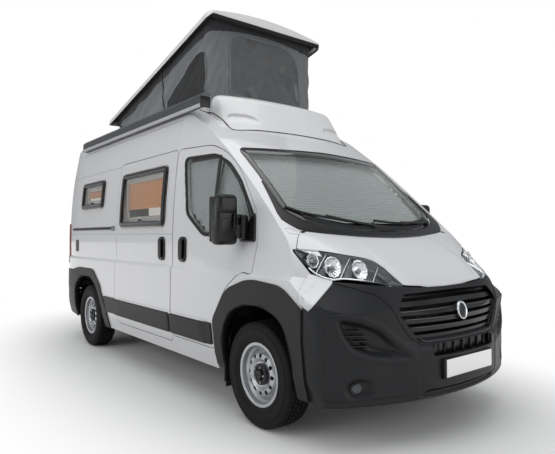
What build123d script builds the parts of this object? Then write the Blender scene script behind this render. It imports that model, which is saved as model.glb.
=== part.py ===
# Camper van: a large front-wheel-drive panel van with a pop-up sleeping roof.
# Millimetres. Z up, the nose points along -Y, the van's right side is -X.
# Stations (s) run rearwards from the nose of the front bumper, heights (z) from the ground.
from build123d import *
import math
import os

os.makedirs("parts", exist_ok=True)

# ---- overall sizes
front_overhang = 948.0
wheelbase = 3450.0
rear_overhang = 1015.0
length = front_overhang + wheelbase + rear_overhang
half_width = 1018.0
roof_top = 2524.0
sill_bottom = 300.0
track_front = 1810.0
track_rear = 1790.0

# ---- panels
wall = 50.0
skin = 22.0
shut_gap = 7.0
seat = 0.3
running = 6.0

# ---- stations
front_axle = front_overhang
rear_axle = front_axle + wheelbase
bumper_depth = 73.0
rear_face = length - bumper_depth
b_post = front_axle + 1236.0
slide_width = 1300.0
c_post = b_post + slide_width
taper_start = rear_axle + 302.0

# ---- tyres and rims
tyre_radius = 364.0
tyre_width = 215.0
bead_radius = 205.0
rim_width = 160.0


def along(s):
    # station to the model's Y
    return s - length / 2


def rounded(corners):
    # closed face from corners (u, v, radius)
    points = [(u, v) for u, v, _ in corners]
    radii = [r for _, _, r in corners]
    return make_face(FilletPolyline(*points, radius=radii, close=True))


def side_prism(corners, x0, x1):
    # corners (station, height, radius), from x0 to x1
    plane = Plane(origin=(x0, -length / 2, 0), x_dir=(0, 1, 0), z_dir=(1, 0, 0))
    return extrude(plane * rounded(corners), amount=x1 - x0, dir=(1, 0, 0))


def front_prism(corners, s0, s1):
    # corners (x, height, radius), from station s0 to s1
    plane = Plane(origin=(0, along(s0), 0), x_dir=(1, 0, 0), z_dir=(0, -1, 0))
    return extrude(plane * rounded(corners), amount=s1 - s0, dir=(0, 1, 0))


def plan_prism(corners, z0, z1):
    # corners (x, station, radius), from z0 to z1
    plane = Plane(origin=(0, -length / 2, z0))
    return extrude(plane * rounded(corners), amount=z1 - z0, dir=(0, 0, 1))


def block(x0, x1, s0, s1, z0, z1):
    size = Box(x1 - x0, s1 - s0, z1 - z0)
    return Pos((x0 + x1) / 2, along((s0 + s1) / 2), (z0 + z1) / 2) * size


def rod(start, end, radius):
    # round bar between two points (x, station, z)
    a = Vector(start[0], along(start[1]), start[2])
    b = Vector(end[0], along(end[1]), end[2])
    plane = Plane(origin=a, z_dir=b - a)
    return extrude(plane * Circle(radius), amount=(b - a).length)


def mirrored(shape):
    return mirror(shape, about=Plane.YZ)


def save(name, *shapes):
    solids = [solid for shape in shapes for solid in shape.solids()]
    whole = solids[0] if len(solids) == 1 else Compound(children=solids)
    export_step(whole, f"parts/{name}.step")


# ---- body form
# cross-section of the right half, bottom to top: offset from half_width, narrowing at the nose, height
side_rows = [
    (-43.0, 0.0, sill_bottom),
    (-6.0, 0.0, 440.0),
    (20.0, 0.0, 680.0),
    (16.0, 0.0, 1035.0),
    (-4.0, 29.0, 1065.0),
    (-22.0, 163.0, 1677.0),
    (-70.0, 230.0, roof_top - 424.0),
    (-148.0, 232.0, roof_top),
]
roof_corner = 110.0
rear_narrowing = 80.0


def section(nose_share, narrowing, inset):
    # closed cross-section; nose_share 1 is the narrow section at the nose
    points = [
        (half_width + offset - at_nose * nose_share - narrowing - inset, z)
        for offset, at_nose, z in side_rows
    ]
    foot, sill, flank, step, belt, waist, rail, corner = points
    if inset > 0:
        foot = (foot[0] - 26.0, foot[1] - 100.0)
    corner = (corner[0], corner[1] - inset)
    top = (0.0, corner[1])
    shoulder = FilletPolyline(rail, corner, top, radius=[roof_corner - max(inset, 0.0)])
    right = [
        Line((0.0, foot[1]), foot),
        Polyline(foot, sill, flank, step, belt),
        ThreePointArc(belt, waist, rail),
        shoulder,
    ]
    left = [mirror(edge, about=Plane.YZ) for edge in right]
    edges = [edge for curve in right + left for edge in curve.edges()]
    return make_face(edges)


def section_at(s, nose_share, narrowing, inset):
    plane = Plane(origin=(0, along(s), 0), x_dir=(1, 0, 0), z_dir=(0, -1, 0))
    return plane * section(nose_share, narrowing, inset)


def side_form(inset):
    # the side walls: narrowing to the nose, straight, then curving in to the rear
    cab = loft([section_at(0, 1.0, 0, inset), section_at(b_post, 0, 0, inset)], ruled=True)
    straight = extrude(section_at(b_post, 0, 0, inset), amount=taper_start - b_post, dir=(0, 1, 0))
    run = length - taper_start
    ends = [
        section_at(taper_start + run * share, 0, rear_narrowing * share * share, inset)
        for share in (0, 0.5, 1.0)
    ]
    return cab + straight + loft(ends)


# nose and screen: half-width of the section, then (station, height) of each line
nose_sections = [
    # x, nose break, bonnet lip, cowl, screen top, brow
    (0.0, (-60, 768), (150, 985), (600, 1309), (1350, 2040), (1760, 2290)),
    (460.0, (-4, 737), (137, 1002), (636, 1321), (1389, 2033), (1785, 2285)),
    (900.0, (172, 809), (450, 1045), (735, 1360), (1497, 2010), (1850, 2262)),
    (1080.0, (400, 860), (640, 1090), (800, 1380), (1565, 1995), (1900, 2250)),
]
bonnet_swell = 24.0
screen_swell = 12.0


def bulge(a, b, swell):
    # arc from a to b that swells up and forward by the given amount
    run = math.hypot(b[0] - a[0], b[1] - a[1])
    across = (-(b[1] - a[1]) / run, (b[0] - a[0]) / run)
    middle = ((a[0] + b[0]) / 2 + across[0] * swell, (a[1] + b[1]) / 2 + across[1] * swell)
    return ThreePointArc(a, middle, b)


def profile_at(x, lines):
    nose, lip, cowl, header, brow = lines
    lift = roof_top + 75.0
    roof_front = (brow[0] + (lift - brow[1]) / 0.544, lift)
    rear = (length + 200.0, lift)
    under = (length + 200.0, 90.0)
    toe = (nose[0], 90.0)
    edges = [
        Line(toe, nose),
        Line(nose, lip),
        bulge(lip, cowl, bonnet_swell),
        bulge(cowl, header, screen_swell),
        Line(header, brow),
        Line(brow, roof_front),
        Line(roof_front, rear),
        Line(rear, under),
        Line(under, toe),
    ]
    plane = Plane(origin=(x, -length / 2, 0), x_dir=(0, 1, 0), z_dir=(1, 0, 0))
    return plane * make_face(edges)


def nose_form(inset):
    rows = [(-row[0], row[1:]) for row in reversed(nose_sections[1:])]
    rows += [(row[0], row[1:]) for row in nose_sections]
    form = loft([profile_at(x, lines) for x, lines in rows])
    return Pos(0, inset * 0.8, -inset * 0.8) * form


front_bow = 1900.0
front_corner = 350.0
rear_corner = 150.0


def plan_form(inset):
    # plan outline: bowed nose, round front corners, rounded rear corners
    side = half_width + 34.0 - inset
    bow = front_bow - inset
    corner = front_corner - inset
    bow_x = (side - corner) / (1 - corner / bow)
    sine = bow_x / bow
    cosine = math.sqrt(1 - sine * sine)
    bow_s = inset + bow * (1 - cosine)
    corner_mid = (math.pi / 2 + math.asin(sine)) / 2
    centre_x = side - corner
    centre_s = bow_s + corner * cosine
    middle = (centre_x + corner * math.sin(corner_mid), centre_s - corner * math.cos(corner_mid))
    turn = rear_corner - inset
    rear = rear_face - inset
    turn_x = half_width - 183.0
    turn_s = rear_face - rear_corner
    diagonal = math.sqrt(0.5)
    right = [
        ThreePointArc((bow_x, bow_s), middle, (side, centre_s)),
        Line((side, centre_s), (side, turn_s - 90.0)),
        Line((side, turn_s - 90.0), (turn_x + turn, turn_s)),
        ThreePointArc(
            (turn_x + turn, turn_s),
            (turn_x + turn * diagonal, turn_s + turn * diagonal),
            (turn_x, rear),
        ),
    ]
    nose = ThreePointArc((-bow_x, bow_s), (0, inset), (bow_x, bow_s))
    tail = Line((turn_x, rear), (-turn_x, rear))
    left = [mirror(edge, about=Plane.YZ) for edge in right]
    face = make_face([nose] + right + [tail] + left)
    plane = Plane(origin=(0, -length / 2, 80))
    return extrude(plane * face, amount=roof_top + 100, dir=(0, 0, 1))


def hull(inset):
    return side_form(inset) & nose_form(inset) & plan_form(inset)




outside = hull(0)
inside_wall = hull(wall)
inside_skin = hull(skin)
wall_shell = outside - inside_wall
skin_shell = outside - inside_skin
trim_rise = 14.0
trim_form = hull(-trim_rise)
seat_form = hull(-seat)
trim_shell = trim_form - seat_form
post_depth = 55.0
post_form = hull(wall + running)
lined_form = hull(wall + post_depth)
post_shell = post_form - lined_form

# ---- outlines seen from the side
far = half_width + 300.0
lining = 560.0
floor_top = 575.0
floor_thick = 30.0


def about_axle(axle, rows):
    return [(axle + ds, z, r) for ds, z, r in rows]


# wheel arch openings and the outer edges of their mouldings: station from the axle, height, radius
arch_front_rows = [
    (415, 200, 0), (415, 560, 150), (302, 770, 180), (112, 845, 250),
    (-118, 852, 250), (-348, 775, 200), (-415, 560, 150), (-415, 200, 0),
]
arch_front_edge_rows = [
    (516, 200, 0), (516, 690, 160), (342, 930, 260), (52, 1025, 500),
    (-308, 1000, 300), (-516, 866, 30), (-516, 200, 0),
]
arch_rear_rows = [
    (-520, 200, 0), (-510, 480, 200), (-400, 720, 200), (-180, 845, 200),
    (180, 845, 200), (400, 720, 200), (486, 500, 100), (486, 200, 0),
]
arch_rear_edge_rows = [
    (-655, 200, 0), (-640, 470, 150), (-480, 760, 250), (-230, 938, 250),
    (250, 938, 250), (560, 895, 100), (560, 200, 0),
]
arch_front = about_axle(front_axle, arch_front_rows)
arch_front_edge = about_axle(front_axle, arch_front_edge_rows)
arch_rear = about_axle(rear_axle, arch_rear_rows)
arch_rear_edge = about_axle(rear_axle, arch_rear_edge_rows)

# front door opening: its front edge follows the wing, the arch and the windscreen pillar
door_top = roof_top - 442.0
door_bottom = 455.0
a_shut = front_axle + 31.0
front_door_rows = [
    (a_shut + 36, 1050, 20), (a_shut, 1272, 150), (a_shut + 56, 1500, 90),
    (a_shut + 311, 1835, 700), (a_shut + 501, 1980, 700), (a_shut + 701, 2062, 500),
    (b_post - 4, door_top, 50), (b_post - 4, door_bottom, 50),
    (front_axle + 532, door_bottom, 40), (front_axle + 530, 692, 160),
    (front_axle + 350, 940, 260), (front_axle + 168, 1060, 24),
]
# door window: follows the pillar line, its lower edge steps up towards the rear
front_window = [
    (a_shut + 45, 1296, 25), (a_shut + 50, 1440, 60), (a_shut + 271, 1741, 500),
    (a_shut + 436, 1890, 400), (a_shut + 636, 1985, 300), (b_post - 110, 2000, 60),
    (b_post - 215, 1500, 250), (b_post - 300, 1440, 120), (a_shut + 720, 1318, 200),
]

slide_bottom = 400.0
slide_door = [
    (b_post + 4, door_top, 50), (c_post, door_top, 60),
    (c_post, slide_bottom, 60), (b_post + 4, slide_bottom, 50),
]


def grown(corners, amount):
    # the outline moved outwards by amount, all round
    face = offset(rounded(corners), amount, kind=Kind.INTERSECTION)
    plane = Plane(origin=(0, -length / 2, 0), x_dir=(0, 1, 0), z_dir=(1, 0, 0))
    return plane * face


def grown_prism(corners, amount, x0, x1):
    return Pos(x0, 0, 0) * extrude(grown(corners, amount), amount=x1 - x0, dir=(1, 0, 0))


def right_cut(corners, amount=0.0):
    return grown_prism(corners, amount, -far, -lining)


# ---- windows: front and rear station, sill and head height, corner radius
big_window = (b_post + 175, b_post + 1180, 1420, 1950, 45)
small_window = (rear_axle - 460, rear_axle + 245, 1655, 1950, 45)


def window_corners(window, margin=0.0):
    s0, s1, z0, z1, r = window
    return [
        (s0 - margin, z0 - margin, r + margin), (s1 + margin, z0 - margin, r + margin),
        (s1 + margin, z1 + margin, r + margin), (s0 - margin, z1 + margin, r + margin),
    ]


# ---- side walls, behind the cab doors
roof_split = roof_top - 147.0
rear_door_half = 880.0
behind_cab = block(-far, 0, b_post, length, sill_bottom - 50, roof_split)
rear_opening = block(-rear_door_half, 0, rear_face - 70, length, 200, roof_split)
wall_right = wall_shell & behind_cab
wall_right = wall_right - rear_opening - right_cut(arch_rear)
wall_left = mirrored(wall_right)
wall_right = wall_right - right_cut(slide_door, shut_gap / 2)
wall_right = wall_right - side_prism(window_corners(small_window), -far, -lining)
left_windows = [big_window, small_window]
for window in left_windows:
    wall_left = wall_left - side_prism(window_corners(window), lining, far)
save("side_wall_right", wall_right)
save("side_wall_left", wall_left)

# ---- roof with the hatch to the sleeping roof
hatch_half = 560.0
hatch_front = b_post + 170.0
hatch_rear = rear_axle - 50.0
rear_header = 160.0
roof_zone = block(-far, far, b_post, length, roof_split, roof_top + 50)
header_zone = block(
    -rear_door_half, rear_door_half, rear_face - 70, length, roof_split - rear_header, roof_split
)
roof_panel = wall_shell & (roof_zone + header_zone)
roof_panel = roof_panel - block(-hatch_half, hatch_half, hatch_front, hatch_rear, 2000, 3000)
save("roof_panel", roof_panel)

# ---- cab frame: pillars, screen header, cab roof and sills
screen_foot = 1352.0
frame_zone = [
    (b_post, sill_bottom - 50, 0), (b_post, roof_top + 50, 0), (500, roof_top + 50, 0),
    (500, screen_foot, 0), (front_axle + 532, screen_foot, 0), (front_axle + 532, sill_bottom - 50, 0),
]
screen_half_top = 812.0
screen_half_foot = 830.0
screen_head = 2024.0
screen_corner = 1500.0
screen_base = 1346.0


def screen_outline(margin):
    # seen from the front: straight sides, a foot that dips in the middle
    top = screen_head + margin
    return [
        (-screen_half_top - margin, top, 60 + margin), (0, top + 16, 3000),
        (screen_half_top + margin, top, 60 + margin),
        (screen_half_foot + margin, screen_corner - margin, 60), (700, 1400 - margin, 150),
        (380, screen_base - margin, 300), (-380, screen_base - margin, 300),
        (-700, 1400 - margin, 150), (-screen_half_foot - margin, screen_corner - margin, 60),
    ]


screen_reach = 1800.0
cab_frame = wall_shell & side_prism(frame_zone, -far, far)
cab_frame = cab_frame - front_prism(screen_outline(seat), -50, screen_reach)
door_cut = right_cut(front_door_rows, shut_gap / 2)
cab_frame = cab_frame - door_cut - mirrored(door_cut)
post_half = 55.0
post_zone = block(-far, far, b_post - post_half, b_post, sill_bottom, roof_split)
head_zone = block(-far, far, b_post - post_half, b_post, door_top + 10, roof_top)
foot_zone = block(-far, far, b_post - post_half, b_post, sill_bottom, slide_bottom - 10)
bridge = outside - lined_form
cab_frame = cab_frame + (post_shell & post_zone) + (bridge & (head_zone + foot_zone))
save("cab_frame", cab_frame)

# ---- windscreen, cowl and the bulkhead behind the engine
glass = 6.0
glass_sink = 3.0
screen_sheet = nose_form(glass_sink) - nose_form(glass_sink + glass)
screen_zone = front_prism(screen_outline(0), -50, screen_reach)
windscreen = screen_sheet & screen_zone
save("windscreen", windscreen)


# ---- lines that divide the nose, seen from the front: x, height, radius
lamp_rows = [
    (466, 1004, 4), (720, 1136, 500), (960, 1240, 12), (905, 1046, 40), (690, 1018, 300),
]
lip_rows = [(466, 1001), (250, 982), (0, 976)]
bonnet_half = 812.0
bonnet_rear_s = 705.0
bonnet_rear_mid = 592.0
wing_front = 440.0
nose_reach = 660.0


def bonnet_prism(margin, rear, z0, z1):
    # plan outline of the bonnet; rear is how far the curved rear edge is moved back
    corner = (bonnet_half - 6 + margin, bonnet_rear_s + rear)
    side = (bonnet_half + margin, 455.0)
    front = (640.0 + margin, -50.0)
    points = [corner, side, front, (-front[0], front[1]), (-side[0], side[1]), (-corner[0], corner[1])]
    back = ThreePointArc((-corner[0], corner[1]), (0, bonnet_rear_mid + rear), corner)
    plane = Plane(origin=(0, -length / 2, z0))
    face = make_face(Polyline(*points).edges() + [back])
    return extrude(plane * face, amount=z1 - z0, dir=(0, 0, 1))


def lamp_cut(margin):
    left = offset(rounded(lamp_rows), margin, kind=Kind.INTERSECTION)
    plane = Plane(origin=(0, along(-50), 0), x_dir=(1, 0, 0), z_dir=(0, -1, 0))
    cut = extrude(plane * left, amount=nose_reach + 50, dir=(0, 1, 0))
    return [mirrored(cut), cut]


def below_lip(drop):
    # everything lower than the bonnet's front edge and the lamps' lower edges
    lip = [(x, z - drop, 0) for x, z in lip_rows]
    out = [(1200, 1050 - drop, 0), (905, 1046 - drop, 0), (690, 1018 - drop, 0)]
    right = [(1200, 200, 0)] + out + lip
    left = [(-x, z, r) for x, z, r in reversed(right[:-1])]
    return front_prism(right + left, -50, nose_reach)


lamp_gap = 4.0
lamps_grown = lamp_cut(lamp_gap)
bonnet = skin_shell & bonnet_prism(0, 0, 900, 1450)
bonnet = bonnet - below_lip(-shut_gap / 2) - lamps_grown[0] - lamps_grown[1]
# the rear corners stop short, so that they turn clear of the cowl
bonnet_corner = block(780, 820, 686, 730, 1200, 1450)
bonnet = bonnet - bonnet_corner - mirrored(bonnet_corner)
save("bonnet", bonnet)

cowl_half = 905.0
cowl_rear = 1010.0
cowl_zone = block(-cowl_half, cowl_half, 585, cowl_rear, 1290, screen_foot)
cowl = (skin_shell & cowl_zone) - bonnet_prism(shut_gap, shut_gap, 900, 1450)
cowl = cowl - block(-far, -bonnet_half - shut_gap, 500, bonnet_rear_s, 1200, 1500)
cowl = cowl - block(bonnet_half + shut_gap, far, 500, bonnet_rear_s, 1200, 1500)
cowl = cowl - front_prism(screen_outline(seat), -50, cowl_rear + 10)
save("cowl", cowl)

# ---- wings
wing_rows = [
    (wing_front, 200, 0), (wing_front, 860, 0), (wing_front + 18, 1050, 0), (wing_front + 18, 1500, 0),
    (front_axle + 120, 1500, 0), (front_axle + 600, 1000, 0), (front_axle + 600, 200, 0),
]
wing = skin_shell & side_prism(wing_rows, -far, -lining)
wing = wing - block(-far, 0, 0, 2000, screen_foot, 2000)
wing = wing - block(-cowl_half, 0, bonnet_rear_s, cowl_rear, 1150, 2000)
wing = wing - block(-bonnet_half - shut_gap, 0, 0, bonnet_rear_s, 900, 2000)
wing = wing - lamps_grown[0] - right_cut(arch_front) - right_cut(front_door_rows, shut_gap / 2)
wing = wing - block(-far, 0, front_axle + 410, 4000, 100, 2000)
save("front_wings", wing, mirrored(wing))

# ---- headlamps
lamps = [wall_shell & cut for cut in lamp_cut(0)]
save("headlamps", *lamps)

# ---- front bumper with grille, lower slot, side intakes and fog lamps
bumper_rows = [
    (-50, 200, 0), (wing_front - 6, 200, 0), (wing_front - 6, 860, 0), (wing_front + 12, 1050, 0),
    (-50, 1050, 0),
]
grille_open = [
    (480, 952, 40), (572, 850, 60), (420, 668, 60), (-420, 668, 60), (-572, 850, 60), (-480, 952, 40),
]
slot_open = [
    (330, 640, 20), (330, 566, 20), (-330, 566, 20), (-330, 640, 20),
]
intake_open = [
    (610, 700, 30), (830, 690, 30), (800, 560, 40), (640, 560, 30),
]
fog_x = 742.0
fog_z = 452.0
fog_radius = 48.0
bumper = skin_shell & side_prism(bumper_rows, -far, far) & below_lip(shut_gap / 2)
for opening in (grille_open, slot_open):
    bumper = bumper - front_prism(opening, -50, 300)
for side in (-1, 1):
    mirrored_rows = [(side * x, z, r) for x, z, r in intake_open]
    bumper = bumper - front_prism(mirrored_rows, -50, 400)
    fog_plane = Plane(origin=(side * fog_x, along(-50), fog_z), z_dir=(0, 1, 0))
    bumper = bumper - extrude(fog_plane * Circle(fog_radius), amount=500)
save("bumper_front", bumper)

grille_depth = 26.0
slat_pitch = 52.0
slat_height = 30.0
nose_front = nose_form(skin + seat) & plan_form(skin + seat)
nose_back = nose_form(skin + grille_depth) & plan_form(skin + grille_depth)
nose_sheet = nose_front - nose_back
grille = nose_sheet & block(-600, 600, -50, 400, 650, 972)
grille_sight = front_prism([(x * 0.965, z * 0.93 + 57, r) for x, z, r in grille_open], -50, 400)
grille = grille & below_lip(shut_gap)
for row in range(5):
    z = 695.0 + row * slat_pitch
    grille = grille - (grille_sight & block(-600, 600, -50, 400, z, z + slat_pitch - slat_height))
save("grille", grille)

# ---- front doors
hinge_tilt = 4.5
hinge_s = front_axle + 87.0
door_zone = right_cut(front_door_rows, -shut_gap / 2)
strip_low = 484.0
strip_high = 652.0
strip_form = trim_form - inside_skin
strip_front = [
    (front_axle + 627, strip_low, 10), (b_post - 8, strip_low, 10), (b_post - 8, strip_high, 10),
    (front_axle + 640, strip_high, 30),
]
door_right = (wall_shell & door_zone) - right_cut(front_window)
door_right = door_right + (strip_form & side_prism(strip_front, -far, -lining))
# the edge ahead of the hinge is rounded about its axis, so that it turns clear of the wing
hinge_x = -992.0
hinge_z = 1065.0
swing_radius = 60.0


def hinge_point(z):
    return (hinge_x + (z - hinge_z) * math.tan(math.radians(hinge_tilt)), hinge_s, z)


swing = rod(hinge_point(840), hinge_point(1640), swing_radius)
leading_edge = block(-1150, -780, 880, hinge_s, 860, 1600) - swing
door_right = door_right - leading_edge
door_right = max(door_right.solids(), key=lambda solid: solid.volume)
save("door_front_right", door_right)
save("door_front_left", mirrored(door_right))

side_sheet = side_form(glass_sink) - side_form(glass_sink + glass)
door_glass = side_sheet & right_cut(front_window, -seat)
save("door_glass_right", door_glass)
save("door_glass_left", mirrored(door_glass))

# ---- door mirrors: a rounded head on a short arm from the door's front corner
mirror_rows = [
    (-1222, 1262, 40), (-1222, 1585, 70), (-1070, 1612, 60), (-1040, 1470, 60), (-1060, 1262, 40),
]
mirror_head = front_prism(mirror_rows, front_axle + 170, front_axle + 300)
mirror_back = mirror_head.faces().sort_by(Axis.Y)[0]
mirror_head = chamfer(mirror_back.edges(), 28)
mirror_arm = block(-1090, -930, front_axle + 150, front_axle + 235, 1330, 1420)
mirror_right = (mirror_head + mirror_arm) - side_form(-seat)
mirror_right = max(mirror_right.solids(), key=lambda solid: solid.volume)
save("mirror_right", mirror_right)
save("mirror_left", mirrored(mirror_right))

# ---- wheels: tyre and pressed steel rim, modelled at the centre with the outer side towards +X
tyre_rows = [
    (-74, bead_radius + seat, 0), (-80, bead_radius + 6, 0), (-80, 224, 3), (-99, 232, 10),
    (-tyre_width / 2, 288, 60),
    (-104, 350, 24), (-62, tyre_radius, 120), (62, tyre_radius, 120),
    (104, 350, 24), (tyre_width / 2, 288, 60), (99, 232, 10), (80, 224, 3),
    (80, bead_radius + 6, 0), (74, bead_radius + seat, 0),
]
disc_face = 52.0
hub_bore = 33.0
hole_count = 12
hole_radius = 15.0
hole_ring = 128.0
flange_radius = 221.0
flange_x = rim_width / 2 + 8
rim_rows = [
    (-flange_x, flange_radius, 3), (-flange_x + 6, flange_radius, 2),
    (-rim_width / 2 - 0.5, bead_radius, 4),
    (-42, bead_radius - 3, 8), (-26, bead_radius - 20, 8), (28, bead_radius - 20, 8),
    (46, bead_radius - 3, 8), (rim_width / 2 + 0.5, bead_radius, 4), (flange_x - 6, flange_radius, 2),
    (flange_x, flange_radius, 3), (flange_x - 2, bead_radius - 8, 5), (50, bead_radius - 11, 8),
    (34, bead_radius - 28, 8), (-30, bead_radius - 28, 8), (-46, bead_radius - 11, 8),
    (-flange_x + 2, bead_radius - 8, 5),
]
disc_rows = [
    (24, bead_radius - 24, 0), (30, bead_radius - 40, 12), (66, 140, 14), (72, 112, 10),
    (disc_face, 88, 10), (disc_face, 62, 3), (70, 58, 6), (74, 30, 6), (74, 0, 0), (46, 0, 0),
    (46, hub_bore, 0), (disc_face - 8, hub_bore, 0), (disc_face - 8, 92, 10), (64, 114, 8),
    (58, 136, 12), (22, bead_radius - 42, 10), (16, bead_radius - 26, 0),
]


def turned(rows):
    # rows (x, radius, corner radius) revolved about the X axis
    face = rounded(rows)
    return revolve(Plane.XY * face, axis=Axis.X, revolution_arc=360)


tyre = turned(tyre_rows)
rim = turned(rim_rows) + turned(disc_rows)
for index in range(hole_count):
    angle = 2 * math.pi * index / hole_count
    where = (0, hole_ring * math.cos(angle), hole_ring * math.sin(angle))
    plane = Plane(origin=where, z_dir=(1, 0, 0))
    rim = rim - extrude(plane * Circle(hole_radius), amount=120)

wheel_places = [
    # name, side, station, track
    ("front_right", -1, front_axle, track_front),
    ("front_left", 1, front_axle, track_front),
    ("rear_right", -1, rear_axle, track_rear),
    ("rear_left", 1, rear_axle, track_rear),
]
for name, side, s, track in wheel_places:
    place = Pos(side * track / 2, along(s), tyre_radius) * Rot(0, 0, 0 if side > 0 else 180)
    save(f"tyre_{name}", place * tyre)
    save(f"rim_{name}", place * rim)

# ---- knuckles: spindle, upright and brake disc, turning about the kingpin
kingpin_x = 845.0
kingpin_tilt = 8.0
spindle_radius = hub_bore - seat
brake_radius = 150.0
half_track = track_front / 2


def knuckle():
    # the left knuckle
    middle = tyre_radius
    spindle_end = (half_track + 45.7, front_axle, middle)
    spindle = rod((kingpin_x - 20, front_axle, middle), spindle_end, spindle_radius)
    disc = rod((half_track - 30, front_axle, middle), (half_track - 8, front_axle, middle), brake_radius)
    carrier = rod((kingpin_x - 32, front_axle, middle), (half_track - 34, front_axle, middle), 62)
    upright = side_prism(
        [(front_axle - 34, 262, 20), (front_axle + 34, 262, 20), (front_axle + 26, 520, 20),
         (front_axle - 26, 520, 20)],
        kingpin_x - 34, kingpin_x - 8,
    )
    post = block(kingpin_x - 110, kingpin_x - 10, front_axle - 24, front_axle + 24, 500, 530)
    caliper = block(half_track - 48, half_track + 8, front_axle - 150, front_axle - 92, 330, 420)
    return spindle + disc + carrier + upright + post + caliper


knuckle_left = knuckle()
save("knuckle_left", knuckle_left)
save("knuckle_right", mirrored(knuckle_left))

# ---- front subframe with lower arms, struts and steering rack
arm_z = 232.0
subframe = block(-360, 360, front_axle - 60, front_axle + 150, 215, 255)
for side in (-1, 1):
    subframe = subframe + rod((side * 350, front_axle, 236), (side * 838, front_axle, arm_z), 16)
    middle = side * 310
    leg = block(middle - 30, middle + 30, front_axle + 60, front_axle + 120, 250, 445)
    subframe = subframe + leg
subframe = subframe + rod((-540, front_axle + 118, 300), (540, front_axle + 118, 300), 28)
strut_low = 540.0
struts = [rod((side * 718, front_axle, strut_low), (side * 668, front_axle, 834), 28) for side in (-1, 1)]
save("front_subframe", subframe)
save("front_struts", *struts)

# ---- floor with chassis rails
rail_x = 430.0
rail_half = 35.0
rail_low = 445.0
floor_front = front_axle + 82.0
rear_liner_x = 690.0
floor_low = floor_top - floor_thick
floor_half = half_width - wall - 12.0
floor_plan = [
    (-570, floor_front, 0), (570, floor_front, 0), (570, front_axle + 425, 0),
    (floor_half, front_axle + 425, 0), (floor_half, rear_axle - 540, 0),
    (rear_liner_x - 6, rear_axle - 540, 0),
    (rear_liner_x - 6, rear_axle + 510, 0), (floor_half - 60, rear_axle + 510, 0),
    (floor_half - 90, rear_face - 70, 0),
]
floor_plan = floor_plan + [(-x, s, r) for x, s, r in reversed(floor_plan[2:])]
floor_pan = plan_prism(floor_plan, floor_low, floor_top)
post_notch = block(
    half_width - wall - post_depth - 12, far, b_post - post_half - seat, b_post + seat, 0, 1000
)
floor_pan = floor_pan - post_notch - mirrored(post_notch)
for side in (-1, 1):
    x = side * rail_x
    floor_pan = floor_pan + block(x - rail_half, x + rail_half, 190, rear_face - 60, rail_low, floor_low)
for s in (front_axle + 640, rear_axle - 700, rear_axle + 620):
    floor_pan = floor_pan + block(-rail_x, rail_x, s, s + 60, rail_low + 20, floor_low)
# towing bracket holes in the undersides of the rails
tow_hole_radius = 6.5
tow_hole_depth = 60.0
tow_hole_pitch = 160.0
tow_hole_mid = rear_face - 260.0
for side in (-1, 1):
    for step_s in (-tow_hole_pitch / 2, tow_hole_pitch / 2):
        s = tow_hole_mid + step_s
        x = side * rail_x
        hole = rod((x, s, rail_low - 1), (x, s, rail_low + tow_hole_depth), tow_hole_radius)
        floor_pan = floor_pan - hole
save("floor_pan", floor_pan)

# ---- wheel housings
liner = 6.0


def liner_shell(rows, axle, x_inner, x_outer):
    outer = [(axle + ds, z, r) for ds, z, r in rows]
    shell = grown_prism(outer, -seat, x_inner, x_outer)
    shell = shell - grown_prism(outer, -seat - liner, x_inner + liner, x_outer + 10)
    return shell & block(0, far, 0, length, sill_bottom + 20, 2000)


liner_front = liner_shell(arch_front_rows, front_axle, 582, half_width - 60)
liner_rear = liner_shell(arch_rear_rows, rear_axle, rear_liner_x, half_width - 60)
beam_notch = block(rear_liner_x - 5, rear_liner_x + 20, rear_axle - 60, rear_axle + 60, 200, 420)
liner_rear = liner_rear - beam_notch
save("wheel_housings", liner_front, mirrored(liner_front), liner_rear, mirrored(liner_rear))

# ---- engine as one block, exhaust, tanks
save("engine_block", block(-330, 360, 430, 900, 300, 900))
exhaust = rod((-200, front_axle + 260, 330), (-200, rear_axle - 500, 330), 28)
exhaust = exhaust + rod((-200, front_axle + 700, 330), (-200, front_axle + 1300, 330), 85)
save("exhaust", exhaust)
tank_rows = [
    # x0, x1, front and rear station, low and high
    (60, 360, front_axle + 780, front_axle + 1640, 280, 500),
    (-360, 360, rear_axle + 140, rear_axle + 620, 290, 455),
]
tanks = []
for x0, x1, s0, s1, z0, z1 in tank_rows:
    tank = block(x0, x1, s0, s1, z0, z1)
    tanks.append(fillet(tank.edges().filter_by(Axis.Y), 30))
save("tanks", *tanks)

# ---- rear axle: beam, leaf springs, drums and spindles
beam_half = track_rear / 2 - 60
beam_z = tyre_radius - 40
beam = rod((-beam_half, rear_axle, beam_z), (beam_half, rear_axle, beam_z), 34)
for side in (-1, 1):
    x0 = track_rear / 2 - 70
    start = (side * x0, rear_axle, tyre_radius)
    drum = rod(start, (side * (track_rear / 2 + 38), rear_axle, tyre_radius), 125)
    spindle_end = (side * (track_rear / 2 + 45.7), rear_axle, tyre_radius)
    spindle = rod(start, spindle_end, spindle_radius)
    spring = side_prism(
        [(rear_axle - 640, 432, 0), (rear_axle - 640, 420, 0), (rear_axle, 358, 900),
         (rear_axle + 640, 420, 0),
         (rear_axle + 640, 432, 0), (rear_axle, 376, 900)],
        side * 560 - 35, side * 560 + 35,
    )
    pad = block(side * 560 - 35, side * 560 + 35, rear_axle - 50, rear_axle + 50, 330, 372)
    beam = beam + drum + spindle + spring + pad
    for end in (-1, 1):
        s = rear_axle + end * 620
        beam = beam + block(side * 560 - 30, side * 560 + 30, s - 18, s + 18, 424, floor_low)
save("rear_axle", beam)

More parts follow.
